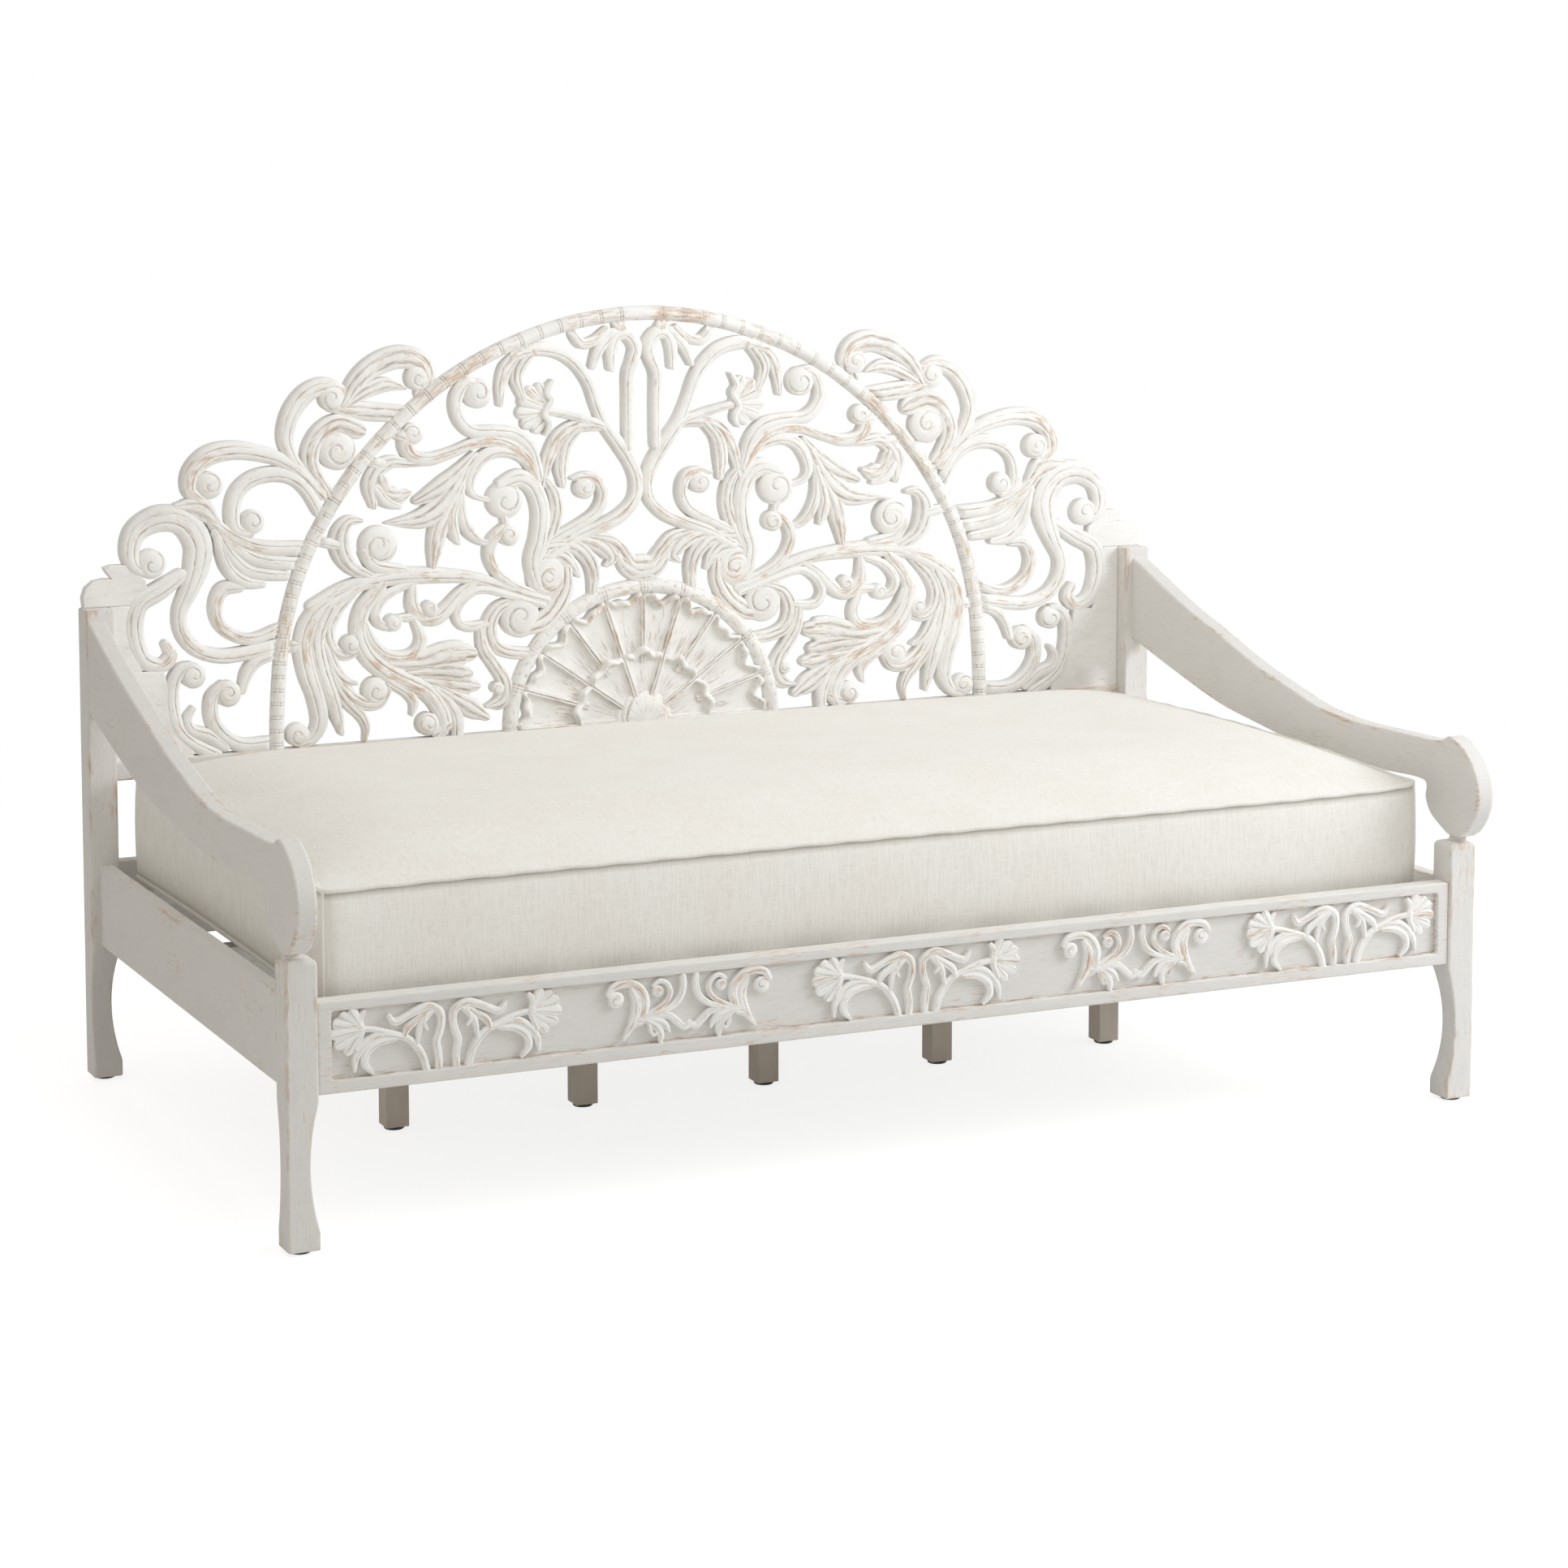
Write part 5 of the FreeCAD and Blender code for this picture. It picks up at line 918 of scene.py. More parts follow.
FRET_STEMS = [
    [(27, 560, 18), (27, 600, 20), (27, 650, 20), (27, 690, 20), (18, 715, 22), (12, 740, 26),
     (28, 763, 26), (50, 760, 22), (60, 735, 22), (60, 704, 16)],
    [(58, 765, 22), (82, 740, 22), (97, 707, 12)],
    [(70, 772, 16), (92, 754, 18), (118, 749, 20), (137, 772, 16)],
    [(35, 765, 24), (48, 795, 30)],
    [(245, 732, 22), (205, 742, 26), (160, 734, 26), (128, 712, 24), (104, 678, 22), (90, 640, 22),
     (72, 600, 24), (45, 563, 26), (20, 525, 26), (10, 490, 26), (18, 458, 24), (45, 432, 26),
     (85, 413, 26), (130, 396, 26), (178, 370, 26)],
    [(212, 742, 24), (220, 757, 22)],
    [(240, 732, 24), (262, 710, 26), (272, 680, 22), (275, 648, 12)],
    [(215, 737, 20), (236, 715, 26), (244, 690, 24), (232, 655, 14)],
    [(178, 628, 14), (135, 618, 16), (100, 608, 16), (72, 598, 18)],
    [(80, 600, 22), (125, 600, 26), (160, 582, 28), (182, 545, 24), (193, 500, 14)],
    [(125, 597, 20), (150, 568, 26), (158, 530, 28), (156, 499, 16)],
    [(272, 500, 26), (240, 510, 34), (212, 492, 34), (198, 450, 34), (202, 400, 34), (213, 360, 34),
     (206, 320, 30)],
    [(190, 506, 14), (173, 480, 24), (168, 445, 26), (180, 405, 26), (200, 365, 26)],
    [(176, 396, 18), (125, 420, 20), (92, 440, 22), (78, 468, 22), (86, 498, 22), (110, 509, 16),
     (136, 505, 8)],
    [(322, 682, 22), (345, 682, 26), (359, 652, 24), (352, 620, 24), (326, 598, 26), (285, 595, 26),
     (245, 586, 30), (218, 560, 28), (203, 515, 22)],
    [(437, 606, 20), (454, 584, 28), (442, 559, 26), (410, 552, 24), (368, 562, 20), (320, 578, 20),
     (272, 576, 26), (230, 550, 26), (206, 510, 20)],
    [(450, 590, 24), (482, 606, 20)],
    [(400, 546, 10), (448, 547, 16), (482, 550, 24), (507, 535, 32), (519, 508, 32), (516, 478, 16)],
    [(500, 518, 26), (490, 494, 30), (470, 488, 34), (452, 493, 12)],
    [(508, 500, 24), (492, 480, 24), (468, 470, 10)],
    [(500, 546, 24), (523, 552, 18)],
    [(326, 556, 14), (355, 525, 30), (385, 500, 40), (430, 480, 18)],
    [(345, 530, 20), (380, 475, 44), (425, 446, 36), (492, 441, 4)],
    [(360, 490, 24), (388, 440, 36), (400, 395, 30), (406, 350, 8)],
    [(352, 500, 20), (368, 450, 22), (364, 415, 22), (357, 399, 8)],
    [(350, 490, 14), (350, 450, 20), (338, 420, 22), (318, 401, 16), (300, 396, 10)],
    [(212, 530, 16), (245, 554, 22), (280, 561, 24), (312, 549, 24), (331, 520, 22), (334, 496, 18),
     (322, 481, 12), (298, 474, 10)],
    [(272, 420, 18), (292, 400, 22), (298, 372, 22), (284, 342, 20), (255, 318, 18), (205, 296, 16)],
    [(264, 420, 14), (270, 446, 14)],
    [(190, 288, 18), (250, 308, 18), (300, 326, 22), (350, 338, 24), (420, 344, 30), (480, 345, 32),
     (530, 338, 28), (580, 326, 24), (630, 300, 24)],
    [(532, 390, 22), (512, 365, 26), (465, 356, 22)],
    [(540, 449, 10), (562, 448, 22), (577, 425, 36), (575, 395, 38), (558, 367, 28), (525, 348, 20)],
    [(585, 408, 22), (622, 416, 16)],
    [(530, 338, 20), (592, 311, 30), (632, 278, 34), (647, 235, 36), (640, 185, 36), (626, 140, 32),
     (619, 95, 30), (634, 66, 22), (655, 58, 16)],
    [(655, 232, 22), (685, 230, 18)],
    [(600, 300, 34), (622, 250, 34), (618, 200, 34), (600, 145, 30), (588, 105, 24), (580, 72, 10)],
    [(602, 215, 28), (588, 160, 28), (563, 122, 24), (543, 100, 20), (533, 78, 14), (536, 56, 6)],
    [(594, 180, 26), (564, 139, 26), (535, 120, 24), (508, 121, 20), (494, 140, 16)],
    [(606, 225, 28), (592, 190, 26), (572, 167, 18), (555, 160, 10)],
    [(552, 322, 14), (586, 293, 28), (602, 257, 26), (594, 225, 22), (574, 210, 20), (553, 216, 20)],
    [(452, 330, 14), (492, 314, 18), (514, 287, 20), (508, 263, 18), (488, 255, 16)],
    [(505, 328, 24), (536, 292, 30), (545, 250, 32), (530, 210, 36), (500, 180, 36), (460, 157, 36),
     (420, 135, 34), (396, 106, 32), (386, 76, 30), (396, 54, 18)],
    [(534, 262, 16), (522, 230, 24), (495, 204, 26), (460, 198, 26), (436, 208, 26), (428, 232, 22),
     (440, 262, 14)],
    [(480, 190, 28), (430, 188, 40), (385, 197, 49), (352, 199, 46), (344, 199, 32)],
    [(450, 172, 24), (395, 170, 34), (357, 165, 38), (348, 164, 24)],
    [(420, 155, 22), (375, 147, 34), (342, 141, 37), (333, 140, 23)],
    [(400, 140, 24), (365, 119, 32), (333, 98, 38), (312, 85, 20)],
    [(400, 135, 26), (374, 108, 28), (362, 80, 26), (362, 45, 22)],
    [(384, 70, 24), (404, 59, 16)],
    [(485, 155, 22), (456, 136, 22), (443, 116, 18), (448, 95, 6)],
    [(443, 332, 14), (444, 292, 26), (425, 268, 26), (398, 267, 28), (375, 286, 26), (352, 310, 20),
     (325, 327, 12)],
    [(440, 270, 18), (474, 270, 12)],
    [(195, 278, 12), (260, 299, 14), (315, 313, 15), (348, 298, 18), (362, 273, 18), (354, 252, 18),
     (335, 246, 18), (308, 250, 14)],
    [(245, 290, 14), (282, 277, 24), (299, 245, 30), (290, 212, 28), (262, 196, 24), (218, 190, 22)],
    [(316, 238, 16), (310, 205, 22), (290, 175, 24), (272, 147, 27), (269, 122, 32), (281, 105, 27),
     (303, 100, 8)],
    [(150, 338, 22), (152, 305, 32), (172, 270, 38), (200, 247, 36), (236, 237, 26)],
    [(195, 368, 26), (160, 368, 28), (139, 350, 22), (128, 330, 10)],
    [(180, 385, 26), (140, 385, 30), (110, 362, 30), (97, 332, 26), (98, 292, 18)],
    [(170, 393, 20), (120, 395, 28), (80, 380, 34), (61, 357, 28), (70, 345, 10)],
    [(100, 398, 14), (60, 388, 24), (36, 365, 24), (20, 342, 34), (-4, 338, 42)],
    [(48, 358, 14), (34, 340, 28), (16, 328, 34), (0, 324, 34)],
]
FRET_PETALS = [
    [(180, 632, 10), (190, 652, 18), (198, 670, 22)],
    [(180, 632, 10), (200, 648, 20), (215, 663, 26)],
    [(180, 631, 10), (206, 640, 22), (227, 648, 27)],
    [(180, 630, 10), (208, 629, 22), (231, 628, 27)],
    [(180, 628, 10), (203, 617, 20), (222, 609, 26)],
    [(180, 626, 10), (193, 609, 18), (204, 599, 22)],
]
FRET_FRILLS = [
    [(176, 684, 6), (183, 674, 10), (187, 662, 12), (179, 650, 11), (185, 637, 11), (192, 624, 11), (184, 612, 11),
     (183, 600, 11), (190, 588, 6)],
]
# The eyes are the round buds in the scrolls, as (x, z, radius).
WING_EYES = [(920, 392, 26), (814, 524, 24), (738, 456, 21), (848, 192, 22), (786, 156, 23), (590, 668, 23),
             (581, 575, 35), (430, 698, 23)]
FRET_EYES = [(268, 472, 34), (114, 487, 20), (318, 666, 27), (441, 599, 19), (261, 408, 19), (507, 403, 35),
             (660, 74, 21), (515, 143, 25), (561, 228, 18), (481, 263, 15), (418, 76, 21), (412, 284, 14),
             (240, 258, 37), (285, 132, 11), (185, 328, 40)]

# %% One half of the carving
def carved_half(name, stems, eyes, plates, side, rod_side, node):
    """All stems, buds and plates of one half of the carving. Each one stands proud by a slightly different
    amount, in front and behind, so that no two faces lie in the same plane."""
    front, back = panel_low[1], panel_high[1]
    shells = []
    for at, rows in enumerate(stems):
        rows = np.asarray(rows, float) + [0, CARVING_DATUM, 0]
        lift = 0.3 + 0.13 * (at * 7 % 11)
        behind = back - 0.3 - 0.03 * at - (0.015 if side > 0 else 0)
        shells.append(stem(rows, front, behind, lift, is_leaf(rows), seed=at + 1, side=side, rod_side=rod_side))
    for at, (x, z, radius) in enumerate(eyes):
        shells.append(bud(x, z + CARVING_DATUM, radius, front - 0.6 + 0.1 * (at % 4), back - 0.1 - 0.011 * at,
                          side, turns=0.85 + radius / 80, seed=at + 1))
    for at, rows in enumerate(plates):
        rows = np.asarray(rows, float) + [0, CARVING_DATUM]
        shells.append(plate(rows, front + 5.0 + at, back - 0.9 - 0.2 * at, side, seed=at + 1))
    for at, rows in enumerate(FRET_PETALS + FRET_FRILLS if rod_side > 0 else ()):
        rows = np.asarray(rows, float) + [0, CARVING_DATUM, 0]
        frill = at >= len(FRET_PETALS)
        lift = -2.0 - 0.2 * at if frill else 3.0 + 0.5 * (at % 2)
        behind = back - 2.0 - 0.05 * at
        shells.append(stem(rows, front, behind, lift, False, seed=at + 90, side=side, pace=2.5))
    return make_piece(name, shells, carved_whitewash, [node] if node else [])


# %% The pierced carving
carved_half("wing_scrolls_left", WING_STEMS, WING_EYES, WING_PLATES, -1, -1, "back_wing_left")
carved_half("wing_scrolls_right", WING_STEMS, WING_EYES, WING_PLATES, 1, -1, "back_wing_right")
carved_half("fret_scrolls_left", FRET_STEMS, FRET_EYES, (), -1, 1, "back_fretwork")
carved_half("fret_scrolls_right", FRET_STEMS, FRET_EYES, (), 1, 1, None)

# %% [markdown]
# ## The arched rod
# A round rod is carved out of the panel all the way round the carving. Pairs of fine rings are cut into it like
# the joints of bamboo, close together near the bottom and wider apart at the top. It is a circle swept along the
# arch: its radius is 14 mm less a narrow dip at each ring.

# %% The rod with its rings
RING_GAP, RING_DEEP, RING_WIDE, SWELL_REACH = 5.0, 1.5, 1.7, 20


def ring_places(total, top_pitch=40.0, low_pitch=24.0, low_end=330.0):
    """Where the pairs of rings lie along the rod, from one foot to the other; the pitch grows towards the top."""
    places, at = [], 30.0
    while at < total / 2 - 12:
        places.append(at)
        at += low_pitch + (top_pitch - low_pitch) * min(1.0, max(0.0, at - low_end) / low_end)
    places = np.array(places)
    return np.concatenate([places, total - places])


def arched_rod(columns=28, pace=1.6):
    """Sweep a circle along the arch and its mirror image, with paired ring cuts."""
    half = np.array(ARCH_LINE, float)
    whole = np.concatenate([half * [-1, 1], half[-2::-1]])
    line = evenly(smooth_line(whole, 16), pace) + [0, CARVING_DATUM]
    walked = lengths(line)
    ahead = unit(np.gradient(line, axis=0))
    places = ring_places(walked[-1])
    pairs = np.concatenate([places - RING_GAP / 2, places + RING_GAP / 2])
    off = np.min(np.abs(walked[:, None] - pairs[None]), axis=1)
    dip = np.clip(1 - off / RING_WIDE, 0, 1)
    from_pair = np.min(np.abs(walked[:, None] - places[None]), axis=1)
    swell = 0.5 * np.cos(np.clip(from_pair, 0, SWELL_REACH) / SWELL_REACH * math.pi)
    radius = (panel_high[1] - panel_low[1]) / 2
    girth = (radius - 0.3 - RING_DEEP * dip + 0.4 * swell - 0.4)[:, None]
    a = full_circle(columns)
    out, deep = girth * np.cos(a), -girth * np.sin(a)
    rings = np.stack([line[:, 0, None] - ahead[:, 1, None] * out, (panel_low[1] + radius) + deep,
                      line[:, 1, None] + ahead[:, 0, None] * out], axis=-1)
    rub = (1 - dip)[:, None] * (0.55 + 0.4 * np.sin(a)) * np.ones_like(out)
    flow = np.stack([walked[:, None] + 0 * out, radius * (a + 0 * out), deep], axis=-1)
    return loft(rings, rub, 0.85 * dip[:, None] + 0 * out, flow)


make_piece("arched_rod", arched_rod(), carved_whitewash, ["back_arch"])

# %% [markdown]
# ## The half rosette
# Ten outer petals and five inner ones fan out from a small dome, inside a round rim. A petal is hollow, its two
# sides are narrow ridges shared with its neighbours, and its outer end turns up into a wavy lip. In front of the
# middle of each outer petal the lip stops short of the rim, and light shows through there. On a grid of angle and
# radius the face is a low ridge at every petal boundary, a hollow between, and a lip that follows the outer line.

# %% Petals on a polar grid
ROSETTE_MIDDLE = node_box("back_bottom_rail")[1][2] - 0.4
RIM_RADIUS, RIM_WIDE = 264.0, 29.0
OUTER_PETALS, INNER_PETALS = 10, 5
INNER_REACH, DOME_REACH = 129.0, 58.0
ROSETTE_WIDER = 1.04
CORNER_OF_PETAL, SIDE_BEAD, CREASE_WIDE = 14.0, 2.3, 1.2
LINE_WAVE, LIP_RUFFLE = 3.8, 4.2


def eased(share):
    """0 below 0, 1 above 1 and 3x^2 - 2x^3 between."""
    x = np.clip(share, 0, 1)
    return x * x * (3 - 2 * x)


def petal_tier(count, low_r, high_r, front, back, hollow, lip, bite, per_petal=48, rows=60, seed=0):
    """One tier of petals. t runs 0 to 1 across a petal, closer together at its sides, and s 0 to 1 outwards. The
    outer line is high_r less bite sin^2(pi t), with two waves in it. d is a point's distance from the
    petal's edge, which has round corners: c - sqrt(a^2 + b^2), with a and b how far the point lies within c of the
    side and of the outer line. Along the edge runs a half-round bead, thin at the sides and thick at the lip, where
    it also waves to and fro; inside it the face falls into a bowl."""
    columns = count * per_petal + 1
    even = np.linspace(0, count, columns)
    spot = even - 0.1 * np.sin(FULL_TURN * even)
    angle = (spot * math.pi / count)[None, :]
    t = (spot % 1.0)[None, :]
    s = 1 - (1 - np.linspace(0, 1, rows)[:, None]) ** 1.5
    phase = 0.8 + 1.9 * np.floor(np.minimum(spot, count - 0.5))[None, :]
    wave = np.sin(FULL_TURN * 2.0 * t + phase) * eased(4 * np.minimum(t, 1 - t))
    outer = high_r - bite * np.sin(math.pi * t) ** 2 - LINE_WAVE * wave
    radius = low_r + (outer - low_r) * s
    across = np.abs(2 * t - 1)
    from_side = (1 - across) * 0.5 * math.pi / count * radius
    from_lip = outer - radius
    a, b = (np.maximum(CORNER_OF_PETAL - gap, 0) for gap in (from_side, from_lip))
    d = np.where(a + b > 0, CORNER_OF_PETAL - np.hypot(a, b), np.minimum(from_side, from_lip))
    at_lip = eased(0.5 + (from_side - from_lip) / 12)
    half_bead = SIDE_BEAD + (lip / 2 - SIDE_BEAD) * at_lip
    bead = np.sqrt(np.clip(1 - (d / half_bead - 1) ** 2, 0, 1)) * np.clip(4 * s, 0, 1)
    bowl = eased((d / half_bead - 1.5) / 1.7) * (0.35 + 0.65 * (1 - across ** 2)) * (0.6 + 0.4 * s)
    ruffle = LIP_RUFFLE * wave * (1 - eased(from_lip / (2.0 * lip)))
    crease = notch(from_side, 0.0, CREASE_WIDE)
    between_petals = eased(-d / 3)
    face = (front + 3.0 + hollow * bowl - (2.4 + 5.0 * at_lip) * bead + ruffle + 2.0 * between_petals
            + 1.2 * crease)
    wall = np.stack([share * (back - face[-1]) + face[-1] for share in (0.25, 1.0)])
    inner_wall = np.stack([back + 0 * face[0], face[0] * 0.5 + back * 0.5])
    deep = np.concatenate([inner_wall, face, wall])
    reach = np.concatenate([radius[:1] + 0 * angle, radius[:1] + 0 * angle, radius + 0 * angle,
                            outer + 0 * angle, outer - 0.6 + 0 * angle])
    points = np.stack([ROSETTE_WIDER * reach * np.cos(angle), deep, ROSETTE_MIDDLE + reach * np.sin(angle)], axis=-1)
    worn = np.clip(0.75 * bead + 0.15 * bowl, 0, 1)
    waxed = np.clip(0.8 * crease + 0.75 * notch(d / half_bead, 2.1, 0.5) * (1 - 0.5 * at_lip)
                    + 0.4 * (1 - across ** 2) * (1 - eased((s - 0.3) / 0.5)) + 0.5 * between_petals, 0, 1)
    pad = lambda note, low, high: np.concatenate([np.full((2, columns), low), note + 0 * angle,
                                                  np.full((2, columns), high)])
    flow = np.stack([reach + 411 * seed, (angle * 120 + 0 * reach), deep], axis=-1)
    return closed_fan(points, pad(worn, 0.1, 0.2), pad(waxed, 0.2, 0.1), flow)


def closed_fan(points, rub, groove, flow):
    """Close a fan whose rows run outwards: each column is a ring round the section, and both end columns are
    flat faces."""
    return loft(points.transpose(1, 0, 2), rub.T, groove.T, flow.transpose(1, 0, 2))


# %% Rim, tiers and dome
def rosette_rim(columns=24, pace=1.8):
    """Half a ring: a circle swept through half a turn, roughened by short nicks as on bark, with a node at each
    petal boundary. The nicks are products of sines along and round the rod."""
    middle = RIM_RADIUS - RIM_WIDE / 2
    walk = np.arange(0, math.pi * middle, pace)
    angle = np.linspace(-0.03, math.pi + 0.03, len(walk))[:, None]
    a = full_circle(columns)
    along = angle * middle
    bark = np.sin(along / 3.1 + 2.5 * np.sin(a * 2 + along / 41)) * np.sin(a * 3 + along / 17)
    nick = np.clip(bark - 0.25, 0, 1)
    node_at = np.abs((angle / math.pi * OUTER_PETALS + 0.5) % 1.0 - 0.5) * math.pi * middle / OUTER_PETALS
    knuckle = notch(node_at, 0.0, 2.2) + notch(node_at, 6.0, 2.0)
    girth = RIM_WIDE / 2 - 0.4 - 1.5 * nick - 0.8 * knuckle + 0 * a
    deep = (panel_high[1] - panel_low[1]) / 2 / (RIM_WIDE / 2)
    reach = middle + girth * np.cos(a)
    y = (panel_low[1] + panel_high[1]) / 2 - girth * deep * np.sin(a)
    rings = np.stack([ROSETTE_WIDER * reach * np.cos(angle), y, ROSETTE_MIDDLE + reach * np.sin(angle)], axis=-1)
    rub = np.clip(0.5 + 0.4 * np.sin(a), 0, 1) * (1 - 0.7 * nick) * (1 - knuckle)
    flow = np.stack([along + 0 * girth, girth * a, y], axis=-1)
    return loft(rings, rub, np.clip(0.8 * knuckle + 0.6 * nick, 0, 1), flow)


def half_dome(radius, front, back, rows=26, columns=96):
    """The half dome in the middle: d sqrt(1 - r^2), with two crescents cut beside its left edge and shallow
    veins that fan out from its top."""
    r = np.linspace(0.02, 1, rows)[None, :]
    angle = np.linspace(0, math.pi, columns)[:, None]
    beside = np.hypot(r * np.cos(angle) - 0.35, r * np.sin(angle) - 0.1)
    arcs = notch(beside, 0.95, 0.06) + notch(beside, 1.12, 0.06)
    veins = 0.4 * notch((angle / math.pi * 7) % 1.0, 0.5, 0.16) * eased((r - 0.15) * 3) * (beside < 0.88)
    cut = np.clip(arcs + veins, 0, 1)
    face = front + 15.0 * (1 - np.sqrt(1 - 0.95 * r ** 2)) + 1.8 * cut
    behind = np.full((columns, 1), back)
    deep = np.concatenate([face, 0.5 * (face[:, -1:] + behind), behind, behind], axis=1)
    reach = radius * np.concatenate([r, [[1.0, 1.0, 0.02]]], axis=1) + 0 * angle
    points = np.stack([reach * np.cos(angle), deep, ROSETTE_MIDDLE + reach * np.sin(angle)], axis=-1)
    pad = lambda note: np.concatenate([note + 0 * angle, np.full((columns, 3), 0.1)], axis=1)
    flow = np.stack([reach * angle, reach, deep], axis=-1)
    return loft(points, pad(1 - cut), pad(0.8 * cut), flow)


tiers = [petal_tier(OUTER_PETALS, INNER_REACH - 20, RIM_RADIUS - RIM_WIDE + 5, panel_low[1] + 4.0,
                    panel_high[1] - 1.0, hollow=8.0, lip=12.0, bite=14.0),
         petal_tier(INNER_PETALS, DOME_REACH - 10, INNER_REACH, panel_low[1] + 1.5, panel_high[1] - 2.0,
                    hollow=8.0, lip=13.0, bite=-7.0, per_petal=72, rows=44, seed=1)]
rosette_shells = tiers + [rosette_rim(), half_dome(DOME_REACH, panel_low[1] - 1.5, panel_high[1] - 3.0)]
make_piece("half_rosette_petals", rosette_shells, carved_whitewash, ["half_rosette"])

# %% [markdown]
# ## The front rail
# A long board with a sunk field: a router takes the field down 9 mm and leaves a plain border, whose inner edge
# is rounded over. On a grid this is a nest of rectangles: each row is a rectangle with its own four sides and
# its own depth, from the back of the board, round its outer edge, over the border and down into the field.

# %% A board with a sunk field
FIELD_DEEP = 9.0
BORDER_SIDE, BORDER_TOP, BORDER_BOTTOM = 22.0, 16.0, 20.0


def rectangle_rings(rows):
    """Rings of a lying board. A row is (left, right, low, high, corner radius, depth)."""
    rings = []
    for left, right, low, high, corner, depth in rows:
        ring = section_ring((right - left) / 2, (high - low) / 2, corner)[0]
        x, z = ring[:, 0] + (left + right) / 2, ring[:, 1] + (low + high) / 2
        rings.append(np.stack([x, np.full(len(x), depth), z], axis=-1))
    return np.array(rings)


def sunk_board():
    """The rail: rows come in from the back face, round the outer edge and step down to the field."""
    low, high = rail_low, rail_high
    front, back, ease = low[1], high[1], 3.0
    turn = np.linspace(0, FULL_TURN / 4, 5)
    outer = lambda inset, depth, corner=1.0: (low[0] + inset, high[0] - inset, low[2] + inset, high[2] - inset,
                                              corner, depth)
    field = lambda inset, depth: (low[0] + BORDER_SIDE + inset, high[0] - BORDER_SIDE - inset,
                                  low[2] + BORDER_BOTTOM + inset, high[2] - BORDER_TOP - inset, 4.0, depth)
    rows = [outer(14, back), outer(6, back)]
    rows += [outer(ease * (1 - math.sin(a)), back - ease + ease * math.cos(a), 2.0) for a in turn]
    rows += [outer(ease * (1 - math.cos(a)), front + ease - ease * math.sin(a), 2.0) for a in turn]
    rows += [outer(7, front, 2.0), field(-6, front), field(-2.5, front)]
    rows += [field(-2.5 + 2.5 * math.sin(a), front + 2.5 - 2.5 * math.cos(a)) for a in turn[1:]]
    rows += [field(0.3, front + FIELD_DEEP - 2.0), field(1.0, front + FIELD_DEEP - 0.6),
             field(3.0, front + FIELD_DEEP), field(9.0, front + FIELD_DEEP), field(30.0, front + FIELD_DEEP)]
    rub = [0.1, 0.2] + [0.35] * 10 + [0.1, 0.1, 0.35] + [0.8, 0.8, 0.5, 0.3] + [0.1, 0, 0, 0.1, 0.1]
    groove = [0.1] * 2 + [0.06] * 13 + [0.06, 0.1, 0.1, 0.3] + [0.5, 0.9, 0.3, 0.06, 0.06]
    rings = rectangle_rings(rows)
    flow = np.stack([rings[..., 0], rings[..., 2], rings[..., 1]], axis=-1)
    return loft(rings, np.array(rub)[:, None], np.array(groove)[:, None], flow)


make_piece("front_rail_board", sunk_board(), board_whitewash, ["front_rail"])

# %% [markdown]
# The field carries five low carvings: three of leaf sprays with a trumpet flower on each side, and two of double
# scrolls between them. They are swept stems again, only flatter. Each is drawn as its right half, with x from
# the motif's own middle and z from the floor, and mirrored. The middles were read off the photograph, where they
# are not perfectly even, as hand work is not.

# %% Lines of the flowers and scrolls in relief
FLOWER_STEMS = [
    [(14, 258, 11), (14, 280, 12), (17, 300, 12), (12, 315, 12), (9, 330, 12), (12, 346, 13), (30, 356, 14),
     (48, 351, 13), (66, 343, 12), (83, 337, 12), (92, 348, 6)],
    [(23, 352, 10), (48, 336, 12), (63, 325, 12), (68, 311, 5)],
    [(25, 347, 8), (42, 329, 11), (48, 302, 5)],
    [(32, 345, 5), (37, 331, 6), (32, 321, 4)],
    [(33, 259, 12), (39, 280, 12), (51, 299, 12), (65, 311, 11), (88, 320, 10), (113, 328, 9), (130, 331, 9)],
    [(70, 312, 8), (93, 319, 12), (113, 318, 13), (130, 308, 13), (143, 290, 12), (146, 270, 5)],
    [(83, 311, 8), (108, 308, 12), (126, 296, 13), (130, 278, 12), (118, 263, 5)],
    [(137, 338, 10), (143, 349, 16), (147, 356, 18)],
    [(137, 336, 10), (152, 346, 17), (160, 351, 21)],
    [(137, 334, 10), (157, 339, 18), (169, 342, 22)],
    [(137, 331, 10), (159, 330, 18), (172, 328, 22)],
    [(138, 327, 10), (156, 318, 18), (167, 313, 21)],
    [(139, 322, 10), (148, 309, 16), (154, 302, 18)],
    [(131, 357, 7), (138, 345, 12), (135, 327, 12), (143, 305, 8)],
]
FLOWER_BUDS = [(136, 333, 7)]
SCROLL_STEMS = [
    [(134, 343, 10), (127, 353, 13), (110, 358, 15), (93, 354, 15), (79, 342, 15), (73, 325, 15), (77, 306, 14)],
    [(96, 345, 10), (87, 326, 20), (89, 306, 19), (99, 286, 12), (110, 271, 4)],
    [(59, 350, 7), (49, 356, 8), (37, 350, 8), (32, 336, 8), (39, 322, 8), (54, 312, 8), (74, 303, 8)],
    [(11, 359, 10), (10, 345, 11), (15, 328, 11), (27, 316, 10), (47, 307, 9), (72, 301, 8)],
    [(82, 300, 10), (57, 303, 12), (35, 300, 12), (22, 290, 12), (10, 280, 12), (0, 284, 12)],
    [(78, 298, 9), (57, 296, 13), (43, 288, 13), (35, 276, 5)],
    [(73, 297, 9), (58, 288, 14), (49, 275, 14), (49, 260, 6)],
    [(68, 290, 4), (65, 280, 6), (60, 272, 5), (55, 277, 4)],
    [(110, 271, 4), (93, 288, 6), (81, 293, 8)],
]
SCROLL_BUDS = [(122, 333, 13), (53, 340, 9)]
